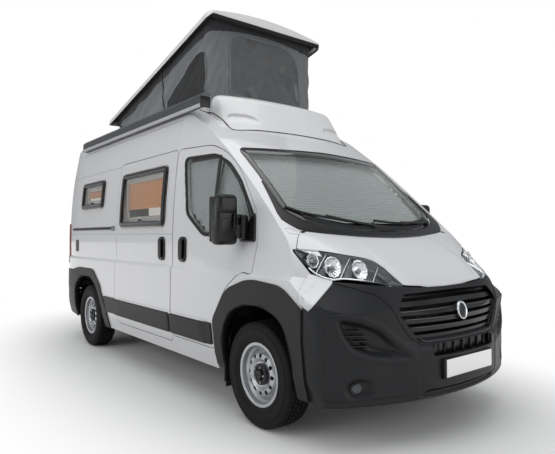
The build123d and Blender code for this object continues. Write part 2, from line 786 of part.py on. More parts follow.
# ---- sliding door with its window
slide_leaf = (wall_shell & right_cut(slide_door, -shut_gap / 2)) - right_cut(window_corners(big_window))
strip_slide = [
    (b_post + 10, strip_low, 10), (c_post - 6, strip_low, 10), (c_post - 6, strip_high, 10),
    (b_post + 10, strip_high, 10),
]
slide_leaf = slide_leaf + (strip_form & side_prism(strip_slide, -far, -lining))
save("sliding_door", slide_leaf)

pane_rise = 9.0
pane_edge = 22.0
pane_sheet = side_form(-pane_rise) - side_form(-seat)


def framed_pane(window, x0, x1):
    # hinged-look camper window: a frame on the skin with a pane over it
    return pane_sheet & side_prism(window_corners(window, pane_edge), x0, x1)


save("sliding_door_window", framed_pane(big_window, -far, -lining))
side_panes = [framed_pane(small_window, -far, -lining)]
side_panes += [framed_pane(window, lining, far) for window in left_windows]
save("side_windows", *side_panes)

# ---- rear doors
rear_door_low = 612.0
rear_door_high = roof_split - rear_header - shut_gap
rear_window = [(170, 1480, 50), (720, 1480, 50), (700, 1980, 60), (170, 1980, 50)]
rear_leaf = wall_shell & block(
    6, rear_door_half - shut_gap, rear_face - wall - 10, length, rear_door_low, rear_door_high
)
rear_leaf = rear_leaf - front_prism(rear_window, rear_face - 200, length)
save("door_rear_left", rear_leaf)
save("door_rear_right", mirrored(rear_leaf))
rear_pane_rows = [
    (x + (pane_edge if x > 400 else -pane_edge), z + (pane_edge if z > 1600 else -pane_edge), r)
    for x, z, r in rear_window
]
rear_glass = front_prism(rear_pane_rows, rear_face + seat, rear_face + pane_rise)
save("rear_glass_left", rear_glass)
save("rear_glass_right", mirrored(rear_glass))

# ---- arch mouldings, side strips and mudflaps
front_moulding = trim_shell & right_cut(arch_front_edge)
front_moulding = front_moulding - right_cut(arch_front)
front_moulding = front_moulding - block(-far, 0, 0, wing_front - 5, 0, 2000)
front_moulding = front_moulding - block(-far, 0, front_axle + 400, 4000, 100, sill_bottom + 40)
rear_moulding = (trim_shell & right_cut(arch_rear_edge)) - right_cut(arch_rear)
rear_moulding = rear_moulding - block(-far, 0, rear_axle + 556, length + 100, 0, 2000)
rear_strip_rows = [
    (c_post + 8, strip_low, 10), (rear_axle - 640, strip_low, 0), (rear_axle - 590, strip_high, 0),
    (c_post + 8, strip_high, 10),
]
rear_strip = trim_shell & (side_prism(rear_strip_rows, -far, -lining) - right_cut(arch_rear_edge))
left_strip_rows = [
    (b_post + 8, strip_low, 10), (rear_axle - 640, strip_low, 0), (rear_axle - 590, strip_high, 0),
    (b_post + 8, strip_high, 10),
]
left_strip = trim_shell & mirrored(side_prism(left_strip_rows, -far, -lining) - right_cut(arch_rear_edge))
flap_thick = 8.0
flap_front_s = front_axle + 415 + seat
flap_rear_s = rear_axle + 486 + seat
flap_front = block(-985, -768, flap_front_s, flap_front_s + flap_thick, 190, 420)
flap_rear = block(-905, -760, flap_rear_s, flap_rear_s + flap_thick, 190, 420)
save("arch_mouldings", front_moulding, mirrored(front_moulding), rear_moulding, mirrored(rear_moulding))
save("side_strips", rear_strip, left_strip)
save("mudflaps", flap_front, mirrored(flap_front), flap_rear, mirrored(flap_rear))

# ---- rear bumper: a step across the doors and wrapped corners
step_rows = [
    (rear_face + 5, 400, 20), (length - 12, 385, 20), (length, 430, 30), (length, 575, 25),
    (length - 30, 600, 15), (rear_face + 5, 600, 8),
]
step = side_prism(step_rows, -rear_door_half - 20, rear_door_half + 20)
corner_zone = block(-far, far, rear_axle + 561, length, 310, 893)
corners = (trim_form - outside) & corner_zone
corners = corners - block(-rear_door_half, rear_door_half, 4000, length + 10, 0, 2000)
bumper_rear = step + corners
bumper_rear = bumper_rear - seat_form
save("bumper_rear", bumper_rear)

# ---- tail lamps on the rear corners
lamp_low = 960.0
lamp_high = 1480.0
lamp_zone = block(-far, -rear_door_half - 6, rear_face - 80, length, lamp_low, lamp_high)
tail = trim_shell & lamp_zone
save("tail_lamps", tail, mirrored(tail))

# ---- awning case along the right roof edge
awning_rows = [
    (-940, 2395, 12), (-942, 2490, 30), (-915, 2520, 25), (-838, 2526, 10), (-838, 2509, 4),
    (-896, 2466, 10), (-902, 2395, 8),
]
awning_front = 1824.0
awning_rear = 4812.0
awning = front_prism([(x, z + roof_top - 2524, r) for x, z, r in awning_rows], awning_front, awning_rear)
for s in (b_post + 150, (b_post + awning_rear) / 2, awning_rear - 200):
    awning = awning + (block(-925, -860, s, s + 60, 2402, 2440) - side_form(-seat))
save("awning_case", awning)

# ---- white fairing at the front of the sleeping roof
fairing_rows = [
    (1600, 2100, 0), (1668, 2236, 40), (1880, 2548, 70), (2010, 2576, 20),
    (2080, 2576, 10), (2080, 2100, 0),
]
fairing_side = side_prism(fairing_rows, -760, 760)
fairing_front = front_prism(
    [(-745, 2100, 0), (745, 2100, 0), (742, 2240, 20), (690, 2576, 60), (-690, 2576, 60), (-742, 2240, 20)],
    1500, 2100,
)
fairing = (fairing_side & fairing_front) - seat_form
fairing = max(fairing.solids(), key=lambda solid: solid.volume)
save("roof_fairing", fairing)

# ---- sleeping roof: built shut, then lifted on its rear arms and tilted open
roof_rest = roof_top + 6.0
shell_front = 2098.0
shell_length = 2531.0
shell_rear = shell_front + shell_length
shell_half = 694.0
shell_side = 62.0
shell_crown = 140.0
shell_skin = 24.0
open_tilt = 13.4
arm_length = 600.0
arm_shut = 0.5
arm_open = 22.4
arm_x = 650.0


def arched(half, base, side_height, crown, s0, s1):
    # block with an arched top, seen from the front
    plane = Plane(origin=(0, along(s0), 0), x_dir=(1, 0, 0), z_dir=(0, -1, 0))
    top = ThreePointArc(
        (half - 15, base + side_height), (0, base + crown), (-half + 15, base + side_height)
    )
    shoulder = base + side_height
    low = Polyline((-half + 15, shoulder), (-half, base), (half, base), (half - 15, shoulder))
    return extrude(plane * make_face([top] + low.edges()), amount=s1 - s0, dir=(0, 1, 0))


shell_shut = arched(shell_half, roof_rest, shell_side, shell_crown, shell_front, shell_rear)
shell_shut = fillet(shell_shut.edges().filter_by(Axis.Z, 20).sort_by(Axis.Y)[:2], 60)
hollow = arched(
    shell_half - shell_skin, roof_rest - 20, shell_side - 8, shell_crown - 4,
    shell_front + shell_skin, shell_rear - shell_skin,
)
shell_shut = shell_shut - hollow
arm_pivot = (rear_axle - 440.0, roof_top + 12.0)


def pivot_at(angle):
    return (
        arm_pivot[0] + arm_length * math.cos(math.radians(angle)),
        arm_pivot[1] + arm_length * math.sin(math.radians(angle)),
    )


def lifted(shape):
    # from the shut place to the open one: tilt about the roof pivot, then follow the arm
    shut_s, shut_z = pivot_at(arm_shut)
    open_s, open_z = pivot_at(arm_open)
    to_origin = Pos(0, -along(shut_s), -shut_z) * shape
    return Pos(0, along(open_s), open_z) * Rot(-open_tilt, 0, 0) * to_origin


shell_open = lifted(shell_shut)
save("pop_roof", shell_open)

arm_radius = 8.0
arm_end_gap = 22.0
tip = pivot_at(arm_open)
arms = []
for side in (-1, 1):
    a = (side * arm_x, arm_pivot[0], arm_pivot[1])
    reach = (arm_length - arm_end_gap) / arm_length
    b = (side * arm_x, a[1] + (tip[0] - a[1]) * reach, a[2] + (tip[1] - a[2]) * reach)
    arms.append(rod(a, b, arm_radius))
save("roof_arms", *arms)

# ---- tent: four fabric walls from the roof to the shell
tent_half = 640.0
tent_front = 2200.0
tent_rear = 4470.0
cloth = 4.0
tent_outer = block(-tent_half, tent_half, tent_front, tent_rear, roof_top + seat, 3600)
tent_inner = block(
    -tent_half + cloth, tent_half - cloth, tent_front + cloth, tent_rear - cloth, roof_top - 5, 3700
)
under_shell = lifted(block(-900, 900, 1500, 5200, roof_rest - 2000, roof_rest + 34))
tent = (tent_outer - tent_inner) & under_shell
save("tent", tent)

# ---- cab: dashboard, steering wheel, seats, screen blind
dash_rows = [
    (1040, 900, 0), (1036, 1180, 60), (1120, 1270, 80), (1290, 1255, 60), (1380, 1120, 60),
    (1330, 940, 40), (1240, 900, 0),
]
dash_half = 870.0
dashboard = side_prism([(front_axle - 948 + s, z, r) for s, z, r in dash_rows], -dash_half, dash_half)
save("dashboard", dashboard)

bulkhead_rows = [
    (-570, floor_top, 0), (570, floor_top, 0), (570, 880, 0), (890, 880, 0), (880, 1250, 0),
    (-880, 1250, 0), (-890, 880, 0), (-570, 880, 0),
]
bulkhead = front_prism(bulkhead_rows, 1010, 1030)
save("bulkhead", bulkhead)

wheel_centre = (400.0, 1450.0, 1190.0)
column_tilt = 62.0
steer_plane = Plane(
    origin=(wheel_centre[0], along(wheel_centre[1]), wheel_centre[2]),
    x_dir=(1, 0, 0),
    z_dir=(0, math.sin(math.radians(column_tilt)), math.cos(math.radians(column_tilt))),
)
grip = steer_plane * Torus(190, 15)
boss = steer_plane * Cylinder(70, 40)
spokes = steer_plane * (Box(368, 34, 16) + Pos(0, -95, 0) * Box(40, 180, 16))
save("steering_wheel", grip + boss + spokes)

seat_rows = [
    (1560, 860, 30), (1550, 990, 50), (2000, 960, 30), (2085, 1560, 50), (2195, 1570, 40),
    (2150, 900, 40), (2120, 850, 20),
]
head_rows = [(2100, 1600, 20), (2110, 1760, 40), (2200, 1760, 40), (2200, 1600, 20)]
seats = []
for side in (-1, 1):
    x0 = side * 445 - 250
    body = side_prism(seat_rows, x0, x0 + 500)
    body = body + side_prism(head_rows, x0 + 130, x0 + 370)
    body = body + block(side * 445 - 70, side * 445 + 70, 2135, 2150, 1500, 1650)
    body = body + block(x0 + 60, x0 + 440, 1620, 2060, floor_top, 905)
    seats.append(body)
save("front_seats", *seats)

blind_sheet = nose_form(70) - nose_form(82)
blind_zone = screen_outline(-26)
blind = blind_sheet & front_prism(blind_zone, -50, screen_reach + 100)
save("screen_blind", blind)

# ---- living space: kitchen, wardrobe, lockers and the bed at the rear
cabinet_rows = [
    # x0, x1, front and rear station, low and high
    (470, 890, b_post + 320, b_post + 1250, floor_top, 1380),
    (-900, -470, c_post + 60, rear_axle - 560, floor_top, 1380),
    (600, 845, b_post + 320, rear_axle + 300, 2010, 2300),
    (-845, -600, c_post + 60, rear_axle + 300, 2010, 2300),
    (-680, 680, rear_axle - 520, rear_axle + 500, floor_top, 960),
]
furniture = [block(*row) for row in cabinet_rows]
save("furniture", *furniture)
mattress = block(-900, 900, rear_axle - 520, rear_axle + 800, 962, 1080)
save("mattress", fillet(mattress.edges().filter_by(Axis.Z), 60))

# ---- wipers
wipers = []
for x0, x1 in ((-560, 60), (120, 700)):
    wipers.append(rod((x0, 668, 1392), (x1, 690, 1440), 7))
save("wipers", *wipers)
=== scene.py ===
import math

import bmesh
import bpy
from mathutils import Matrix, Vector, noise
from mathutils.bvhtree import BVHTree


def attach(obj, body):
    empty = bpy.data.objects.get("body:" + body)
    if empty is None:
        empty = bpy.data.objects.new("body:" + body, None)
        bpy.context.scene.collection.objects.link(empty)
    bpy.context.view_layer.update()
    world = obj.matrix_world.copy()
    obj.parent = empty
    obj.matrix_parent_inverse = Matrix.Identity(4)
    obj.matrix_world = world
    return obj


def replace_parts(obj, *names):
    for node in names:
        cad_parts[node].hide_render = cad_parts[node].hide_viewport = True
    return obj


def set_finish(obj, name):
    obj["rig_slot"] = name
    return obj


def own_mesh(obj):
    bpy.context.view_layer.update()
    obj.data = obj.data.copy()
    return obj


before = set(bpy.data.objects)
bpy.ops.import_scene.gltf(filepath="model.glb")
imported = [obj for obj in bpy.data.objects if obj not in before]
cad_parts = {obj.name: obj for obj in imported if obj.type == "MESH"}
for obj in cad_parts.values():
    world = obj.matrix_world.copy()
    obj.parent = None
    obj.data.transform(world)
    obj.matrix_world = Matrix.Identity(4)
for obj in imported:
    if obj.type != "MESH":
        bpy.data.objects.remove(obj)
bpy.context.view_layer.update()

print("stage: frame loaded")

# camera, found from the wheels, the wheelbase and both sides of the nose
camera = {
    "position": (-3.103, -4.6565, 1.3243),
    "yaw": 38.24,
    "pitch": 0.89,
    "roll": -0.17,
    "lens": 33.66,
}
vanLength = 5.413
frontAxle, rearAxle = 948, 4398  # stations in mm behind the nose
sides = ((-1, "Right"), (1, "Left"))  # the van's right side is at negative X


def stationY(s):
    # millimetres from the nose to metres along Y
    return s / 1000 - vanLength / 2


def at(x, s, z):
    return Vector((x / 1000, stationY(s), z / 1000))


def addObject(name, data):
    made = bpy.data.objects.new(name, data)
    bpy.context.scene.collection.objects.link(made)
    return made


def setUpCamera():
    yaw, pitch, roll = (math.radians(camera[k]) for k in ("yaw", "pitch", "roll"))
    forward = Vector((math.sin(yaw) * math.cos(pitch), math.cos(yaw) * math.cos(pitch), math.sin(pitch)))
    right = Vector((math.cos(yaw), -math.sin(yaw), 0))
    up = right.cross(forward)
    turned = Matrix((right, up, -forward)).transposed() @ Matrix.Rotation(roll, 3, "Z")
    data = bpy.data.cameras.new("photoCamera")
    data.lens = camera["lens"]
    data.clip_end = 200
    holder = addObject("photoCamera", data)
    holder.matrix_world = Matrix.Translation(camera["position"]) @ turned.to_4x4()
    bpy.context.scene.camera = holder


setUpCamera()
bpy.context.scene.view_settings.view_transform = "Standard"


# materials
def colour(hexCode):
    # sRGB hex to linear
    parts = [int(hexCode[i : i + 2], 16) / 255 for i in (0, 2, 4)]
    return [p / 12.92 if p <= 0.04045 else ((p + 0.055) / 1.055) ** 2.4 for p in parts] + [1.0]


def addNode(tree, kind, settings=None, inputs=None):
    # adds a node, sets its properties, and fills or links its inputs
    node = tree.nodes.new(kind)
    for key, value in (settings or {}).items():
        setattr(node, key, value)
    for key, value in (inputs or {}).items():
        if isinstance(value, bpy.types.NodeSocket):
            tree.links.new(value, node.inputs[key])
        else:
            node.inputs[key].default_value = value
    return node


def mathNode(tree, operation, first, second):
    return addNode(tree, "ShaderNodeMath", {"operation": operation}, {0: first, 1: second}).outputs[0]


def startMaterial(name, base, values):
    made = bpy.data.materials.new(name)
    made.use_nodes = True
    tree = made.node_tree
    shader = tree.nodes["Principled BSDF"]
    shader.inputs["Base Color"].default_value = colour(base)
    for key, value in values.items():
        shader.inputs[key].default_value = value
    return made, tree, shader


def finishMaterial(name, base, values, grain=None, tint=None):
    # grain: (size in mm, bump height in mm, detail); tint: (second colour, size in mm, share of it)
    made, tree, shader = startMaterial(name, base, values)
    place = addNode(tree, "ShaderNodeTexCoord").outputs["Object"]
    if grain:
        size, height, detail = grain
        pattern = addNode(
            tree, "ShaderNodeTexNoise", None, {"Vector": place, "Scale": 1000 / size, "Detail": detail}
        )
        bump = addNode(
            tree, "ShaderNodeBump", None,
            {"Height": pattern.outputs["Fac"], "Distance": height / 1000, "Strength": 1.0}
        )
        tree.links.new(bump.outputs["Normal"], shader.inputs["Normal"])
    if tint:
        second, size, share = tint
        cloud = addNode(
            tree, "ShaderNodeTexNoise", None, {"Vector": place, "Scale": 1000 / size, "Detail": 4.0}
        )
        ramp = addNode(
            tree, "ShaderNodeMapRange", None,
            {"Value": cloud.outputs["Fac"], "From Min": 0.35, "From Max": 0.75, "To Max": share}
        )
        mix = addNode(
            tree, "ShaderNodeMix", {"data_type": "RGBA"},
            {"Factor": ramp.outputs["Result"], "A": colour(base), "B": colour(second)},
        )
        tree.links.new(mix.outputs["Result"], shader.inputs["Base Color"])
    return made


def wovenMaterial(name, base, second, pitch, height, values):
    # plain weave: two crossed waves of thread, pitch in mm
    # it is drawn coarser than the real thread so that it shows
    made, tree, shader = startMaterial(name, base, values)
    place = addNode(tree, "ShaderNodeTexCoord").outputs["Object"]
    waves = []
    for direction in ("X", "Y", "Z"):
        wave = addNode(
            tree, "ShaderNodeTexWave",
            {"wave_type": "BANDS", "bands_direction": direction, "wave_profile": "SIN"},
            {"Vector": place, "Scale": 1000 / pitch / 6.2832, "Distortion": 0.6, "Detail": 1.0}
        )
        waves.append(wave.outputs["Fac"])
    first = mathNode(tree, "ADD", waves[0], waves[1])
    both = mathNode(tree, "MULTIPLY", first, waves[2])
    cloud = addNode(tree, "ShaderNodeTexNoise", None, {"Vector": place, "Scale": 9.0, "Detail": 5.0})
    share = mathNode(tree, "MULTIPLY", both, cloud.outputs["Fac"])
    mix = addNode(
        tree, "ShaderNodeMix", {"data_type": "RGBA"},
        {"Factor": share, "A": colour(base), "B": colour(second)}
    )
    tree.links.new(mix.outputs["Result"], shader.inputs["Base Color"])
    bump = addNode(
        tree, "ShaderNodeBump", None, {"Height": both, "Distance": height / 1000, "Strength": 1.0}
    )
    tree.links.new(bump.outputs["Normal"], shader.inputs["Normal"])
    return made


# solvent enamel under clear lacquer: deep gloss with a faint orange peel
whiteEnamel = finishMaterial(
    "whiteEnamelPaint", "EDEDEE",
    {"Roughness": 0.3, "Coat Weight": 1.0, "Coat Roughness": 0.04, "IOR": 1.5}, grain=(14, 0.02, 1.0),
    tint=("E6E7E9", 900, 0.6)
)
# sprayed gelcoat over glass fibre: softer gloss and a slight print-through of the mat
gelcoat = finishMaterial(
    "glassFibreGelcoat", "F0F0F0",
    {"Roughness": 0.32, "Coat Weight": 0.5, "Coat Roughness": 0.1, "IOR": 1.5}, grain=(22, 0.05, 3.0),
    tint=("E9EAEA", 400, 0.7)
)
# polypropylene moulded in a spark-eroded tool: a fine leather-like grain, low sheen
grainedPlastic = finishMaterial(
    "grainedPolypropylene", "1D1E20", {"Roughness": 0.48, "IOR": 1.49, "Specular IOR Level": 0.32},
    grain=(2.6, 0.12, 3.0), tint=("252628", 260, 0.7),
)
# smooth ABS, near black, for grille bars, mirrors, handles and frames
smoothPlastic = finishMaterial(
    "mouldedAbsBlack", "111213", {"Roughness": 0.3, "IOR": 1.53, "Specular IOR Level": 0.35},
    grain=(1.8, 0.02, 2.0), tint=("18191B", 120, 0.6)
)
# EPDM seal: dull black with a powdery bloom
sealRubber = finishMaterial(
    "epdmRubberSeal", "141516", {"Roughness": 0.7, "IOR": 1.5}, grain=(1.5, 0.05, 2.0),
    tint=("1E1F21", 60, 0.5)
)
# vulcanised tyre rubber: matt, slightly dusty in places
tyreRubber = finishMaterial(
    "vulcanisedTyreRubber", "111112", {"Roughness": 0.7, "IOR": 1.52, "Specular IOR Level": 0.25},
    grain=(2.2, 0.12, 4.0), tint=("1B1A19", 90, 0.8),
)
# pressed steel under silver lacquer: fine metallic flake
silverLacquer = finishMaterial(
    "silverLacqueredSteel", "B9BBBE",
    {"Metallic": 0.75, "Roughness": 0.34, "Coat Weight": 0.6, "Coat Roughness": 0.15},
    grain=(1.2, 0.02, 2.0), tint=("A3A5A9", 80, 0.6)
)
# vacuum-deposited aluminium inside the lamps
mirrorAluminium = finishMaterial(
    "aluminisedReflector", "D9DBDD", {"Metallic": 1.0, "Roughness": 0.12}, grain=(9, 0.25, 0.0)
)
anodised = finishMaterial(
    "anodisedAluminiumGrey", "5A5C60", {"Metallic": 0.8, "Roughness": 0.38}, grain=(1.5, 0.02, 2.0),
    tint=("66686C", 300, 0.5)
)
chassisPaint = finishMaterial(
    "blackDippedSteel", "191A1B", {"Roughness": 0.5, "IOR": 1.5}, grain=(6, 0.15, 3.0),
    tint=("2A2724", 180, 0.6)
)
castIron = finishMaterial(
    "sandCastIron", "4A4B4D", {"Metallic": 0.6, "Roughness": 0.6}, grain=(4, 0.3, 4.0),
    tint=("3A3634", 90, 0.8)
)
zincSteel = finishMaterial(
    "zincPlatedSteel", "8C8E90", {"Metallic": 1.0, "Roughness": 0.35}, grain=(3, 0.03, 2.0),
    tint=("77797C", 40, 0.7)
)
cabPlastic = finishMaterial(
    "softTouchCabPlastic", "2C2D30", {"Roughness": 0.6, "IOR": 1.5}, grain=(3, 0.12, 3.0),
    tint=("35363A", 200, 0.6)
)
birchPly = finishMaterial(
    "oiledBirchPly", "C07A45", {"Roughness": 0.5, "IOR": 1.5}, grain=(5, 0.06, 2.0),
    tint=("A9642F", 120, 0.9)
)
# thin polycarbonate, hard coated
clearLens = finishMaterial(
    "clearPolycarbonate", "F4F5F6", {"Roughness": 0.02, "Transmission Weight": 1.0, "IOR": 1.2},
    grain=(60, 0.05, 0.0)
)
lampRed = finishMaterial(
    "redPolycarbonate", "A01016",
    {"Roughness": 0.08, "Coat Weight": 1.0, "Coat Roughness": 0.02, "IOR": 1.58}, grain=(8, 0.3, 0.0),
    tint=("6E0B10", 30, 0.7)
)
lampAmber = finishMaterial(
    "amberPolycarbonate", "E0731A", {"Roughness": 0.1, "Coat Weight": 1.0, "IOR": 1.58},
    grain=(5, 0.3, 0.0), tint=("C25A0E", 20, 0.6)
)
# green-grey laminated screen glass, lightly tinted
cabGlass = finishMaterial(
    "tintedCabGlass", "E3E8E6",
    {
        "Roughness": 0.0, "Transmission Weight": 1.0, "IOR": 1.15, "Coat Weight": 0.25,
        "Coat Roughness": 0.35
    },
    grain=(900, 0.2, 0.0)
)
# grey-tinted acrylic of the camper windows
smokedAcrylic = finishMaterial(
    "smokedAcrylicSheet", "DAD8D4",
    {
        "Roughness": 0.01, "Transmission Weight": 1.0, "IOR": 1.15, "Coat Weight": 0.5,
        "Coat Roughness": 0.02
    },
    grain=(300, 0.2, 0.0)
)
tentCanvas = wovenMaterial(
    "polyCottonCanvas", "737577", "8A8C8E", 3.2, 0.25,
    {"Roughness": 0.85, "Sheen Weight": 0.3, "Sheen Roughness": 0.5}
)
tentBand = wovenMaterial(
    "coatedTentBand", "2E2F31", "38393B", 3.2, 0.2, {"Roughness": 0.8, "Sheen Weight": 0.2}
)
insectMesh = wovenMaterial("polyesterInsectMesh", "1F2021", "3A3B3C", 4.0, 0.4, {"Roughness": 0.75})
frontMesh = wovenMaterial(
    "polyesterMeshOverPvc", "4A4B4C", "6C6D6E", 4.0, 0.4, {"Roughness": 0.5, "Coat Weight": 0.25}
)
blindCloth = wovenMaterial(
    "pleatedBlindCloth", "9B9D9F", "A9ABAD", 2.5, 0.1, {"Roughness": 0.8, "Sheen Weight": 0.2}
)
seatCloth = wovenMaterial(
    "flatWovenSeatCloth", "3F4144", "4E5053", 3.0, 0.3, {"Roughness": 0.9, "Sheen Weight": 0.4}
)
bedCloth = wovenMaterial(
    "cottonMattressTicking", "8D8A84", "9C9993", 3.0, 0.2, {"Roughness": 0.9, "Sheen Weight": 0.3}
)
linerFelt = finishMaterial(
    "needledRoofFelt", "0E0F10", {"Roughness": 0.95}, grain=(4, 0.4, 4.0), tint=("161718", 150, 0.6)
)
# satin metallised bezel inside the lamps
lampBezel = finishMaterial(
    "satinMetallisedBezel", "55575B", {"Metallic": 0.9, "Roughness": 0.28}, grain=(6, 0.1, 1.0),
    tint=("3B3C40", 60, 0.6)
)
# white plate sheet with a faint emission: painted glow, as the sheet is no lit lamp
plateWhiteWithPaintedGlow = finishMaterial(
    "reflectiveSheetOnAluminium", "F4F4F2",
    {"Roughness": 0.35, "Coat Weight": 0.4, "Emission Color": (1, 1, 1, 1), "Emission Strength": 0.22},
    grain=(30, 0.02, 1.0)
)
ceramicBorder = finishMaterial(
    "firedCeramicBorder", "111214", {"Roughness": 0.12, "Coat Weight": 1.0, "Coat Roughness": 0.02},
    grain=(20, 0.01, 0.0)
)
print("stage: materials made")

# finishes of the CAD parts that stay
nodeFinish = [
    (whiteEnamel, "side_wall_right side_wall_left roof_panel cab_frame front_wings bonnet"),
    (whiteEnamel, "door_front_right door_front_left door_rear_right door_rear_left sliding_door"),
    (gelcoat, "pop_roof roof_fairing"),
    (grainedPlastic, "bumper_front bumper_rear arch_mouldings side_strips"),
    (smoothPlastic, "cowl grille wheel_housings mirror_right mirror_left wipers"),
    (sealRubber, "mudflaps"),
    (anodised, "awning_case"),
    (cabGlass, "windscreen door_glass_right door_glass_left"),
    (smokedAcrylic, "sliding_door_window side_windows rear_glass_right rear_glass_left"),
    (clearLens, "headlamps"),
    (lampRed, "tail_lamps"),
    (tyreRubber, "tyre_front_right tyre_front_left tyre_rear_right tyre_rear_left"),
    (silverLacquer, "rim_front_right rim_front_left rim_rear_right rim_rear_left"),
    (chassisPaint, "floor_pan bulkhead front_subframe front_struts rear_axle roof_arms"),
    (zincSteel, "exhaust knuckle_right knuckle_left"),
    (castIron, "engine_block"),
    (cabPlastic, "tanks dashboard steering_wheel"),
    (seatCloth, "front_seats"),
    (bedCloth, "mattress"),
    (blindCloth, "screen_blind"),
    (tentCanvas, "tent"),
    (birchPly, "furniture"),
]
for finish, names in nodeFinish:
    for nodeName in names.split():
        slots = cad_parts[nodeName].data.materials
        slots.clear()
        slots.append(finish)


# making pieces
def makePiece(name, vertices, faces, material, body=None, slotName=None, smooth=True):
    # a piece that is given its body has its faces turned outwards and is put in place
    mesh = bpy.data.meshes.new(name)
    mesh.from_pydata([tuple(v) for v in vertices], [], faces)
    mesh.validate()
    for part in material if isinstance(material, (list, tuple)) else [material]:
        mesh.materials.append(part)
    piece = addObject(name, mesh)
    if smooth:
        mesh.shade_smooth()
    if body:
        fixNormals(piece)
        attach(piece, body)
        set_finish(piece, slotName)
    return piece


def pieceFromWork(name, work, material):
    mesh = bpy.data.meshes.new(name)
    work.to_mesh(mesh)
    work.free()
    mesh.materials.append(material)
    return addObject(name, mesh)


def wrapFaces(rings, size, closed=True):
    # quads between neighbouring rings of points; a closed run joins its last ring to its first
    faces = []
    for i in range(rings if closed else rings - 1):
        j = (i + 1) % rings
        for k in range(size):
            m = (k + 1) % size
            faces.append([i * size + k, i * size + m, j * size + m, j * size + k])
    return faces


def endFaces(rings, size):
    return [list(range(size)), [(rings - 1) * size + k for k in reversed(range(size))]]


boxFaces = [(0, 2, 3, 1), (4, 5, 7, 6), (0, 1, 5, 4), (2, 6, 7, 3), (0, 4, 6, 2), (1, 3, 7, 5)]


def applyModifiers(piece, steps):
    # runs modifiers given as (kind, settings) and keeps the result as the plain mesh
    for kind, settings in steps:
        modifier = piece.modifiers.new(kind, kind)
        for key, value in settings.items():
            setattr(modifier, key, value)
    shaped = piece.evaluated_get(bpy.context.evaluated_depsgraph_get())
    result = bpy.data.meshes.new_from_object(shaped)
    piece.modifiers.clear()
    old = piece.data
    piece.data = result
    result.name = old.name
    return piece


def castTree(*names):
    # a ray target made of CAD nodes, or of pieces made here
    vertices, faces = [], []
    for n in names:
        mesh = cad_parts[n].data if isinstance(n, str) else n.data
        start = len(vertices)
        vertices += [v.co.copy() for v in mesh.vertices]
        faces += [[start + i for i in p.vertices] for p in mesh.polygons]
    return BVHTree.FromPolygons(vertices, faces)


def meet(tree, start, way):
    # point and outward normal where a ray first meets the tree
    way = Vector(way)
    hit, normal, _, _ = tree.ray_cast(Vector(start), way)
    if hit is None:
        return None
    return hit, -normal if normal.dot(way) > 0 else normal


def onSide(tree, s, z, side):
    return meet(tree, (side * 3.0, stationY(s), z / 1000), (-side, 0, 0))


def onEnd(tree, x, z, side=-1):
    # side is -1 at the nose and 1 at the rear
    return meet(tree, (x / 1000, side * 4.0, z / 1000), (0, -side, 0))


def roundOutline(corners, step=14.0):
    # closed outline in a plane from (u, v, radius) corners, spaced about step apart
    points = []
    count = len(corners)
    for i, (u, v, radius) in enumerate(corners):
        here = Vector((u, v))
        before = Vector(corners[i - 1][:2])
        after = Vector(corners[(i + 1) % count][:2])
        inward, outward = (before - here).normalized(), (after - here).normalized()
        angle = inward.angle(outward)
        cut = min(
            radius / max(math.tan(angle / 2), 0.05), (before - here).length * 0.49,
            (after - here).length * 0.49
        )
        first, last = here + inward * cut, here + outward * cut
        turns = max(2, int(radius / step) + 3) if radius > 0 else 1
        for k in range(turns):
            t = k / (turns - 1) if turns > 1 else 0
            points.append(first * (1 - t) ** 2 + here * 2 * t * (1 - t) + last * t * t)
    spaced = []
    for i, p in enumerate(points):
        q = points[(i + 1) % len(points)]
        parts = max(1, int((q - p).length / step))
        spaced += [p.lerp(q, k / parts) for k in range(parts)]
    return spaced


def outlined(corners, step=14.0):
    return [tuple(p) for p in roundOutline(corners, step)]


def rounded(x0, x1, z0, z1, radius, step=12):
    low, high = sorted((x0, x1))
    corners = [(low, z0, radius), (high, z0, radius), (high, z1, radius), (low, z1, radius)]
    return outlined(corners, step)


def circle(u, v, radius, count):
    angles = [k / count * 2 * math.pi for k in range(count)]
    return [(u + radius * math.cos(a), v + radius * math.sin(a)) for a in angles]


def slopedBar(foot, low, top, high):
    # profile of a bar: half width at its foot and at its top, each with its height
    return [(-foot, low), (-top, high), (top, high), (foot, low)]


def strip(name, path, normals, profile, material, body="body", slotName="dark_plastic", closed=False):
    # sweeps a closed profile (across, outwards in mm) along points on a surface
    count, size = len(path), len(profile)
    vertices = []
    for i in range(count):
        before, after = path[i - 1], path[(i + 1) % count]
        if not closed and i == 0:
            before = path[0]
        if not closed and i == count - 1:
            after = path[-1]
        along = (after - before).normalized()
        outward = normals[i].normalized()
        across = along.cross(outward).normalized()
        for a, b in profile:
            vertices.append(path[i] + across * a / 1000 + outward * b / 1000)
    faces = wrapFaces(count, size, closed) + ([] if closed else endFaces(count, size))
    return makePiece(name, vertices, faces, material, body, slotName)


def openWork(piece):
    work = bmesh.new()
    work.from_mesh(piece.data)
    return work


def closeWork(work, piece):
    work.to_mesh(piece.data)
    work.free()


def fixNormals(piece):
    work = openWork(piece)
    bmesh.ops.remove_doubles(work, verts=work.verts, dist=0.00002)
    bmesh.ops.recalc_face_normals(work, faces=work.faces)
    closeWork(work, piece)


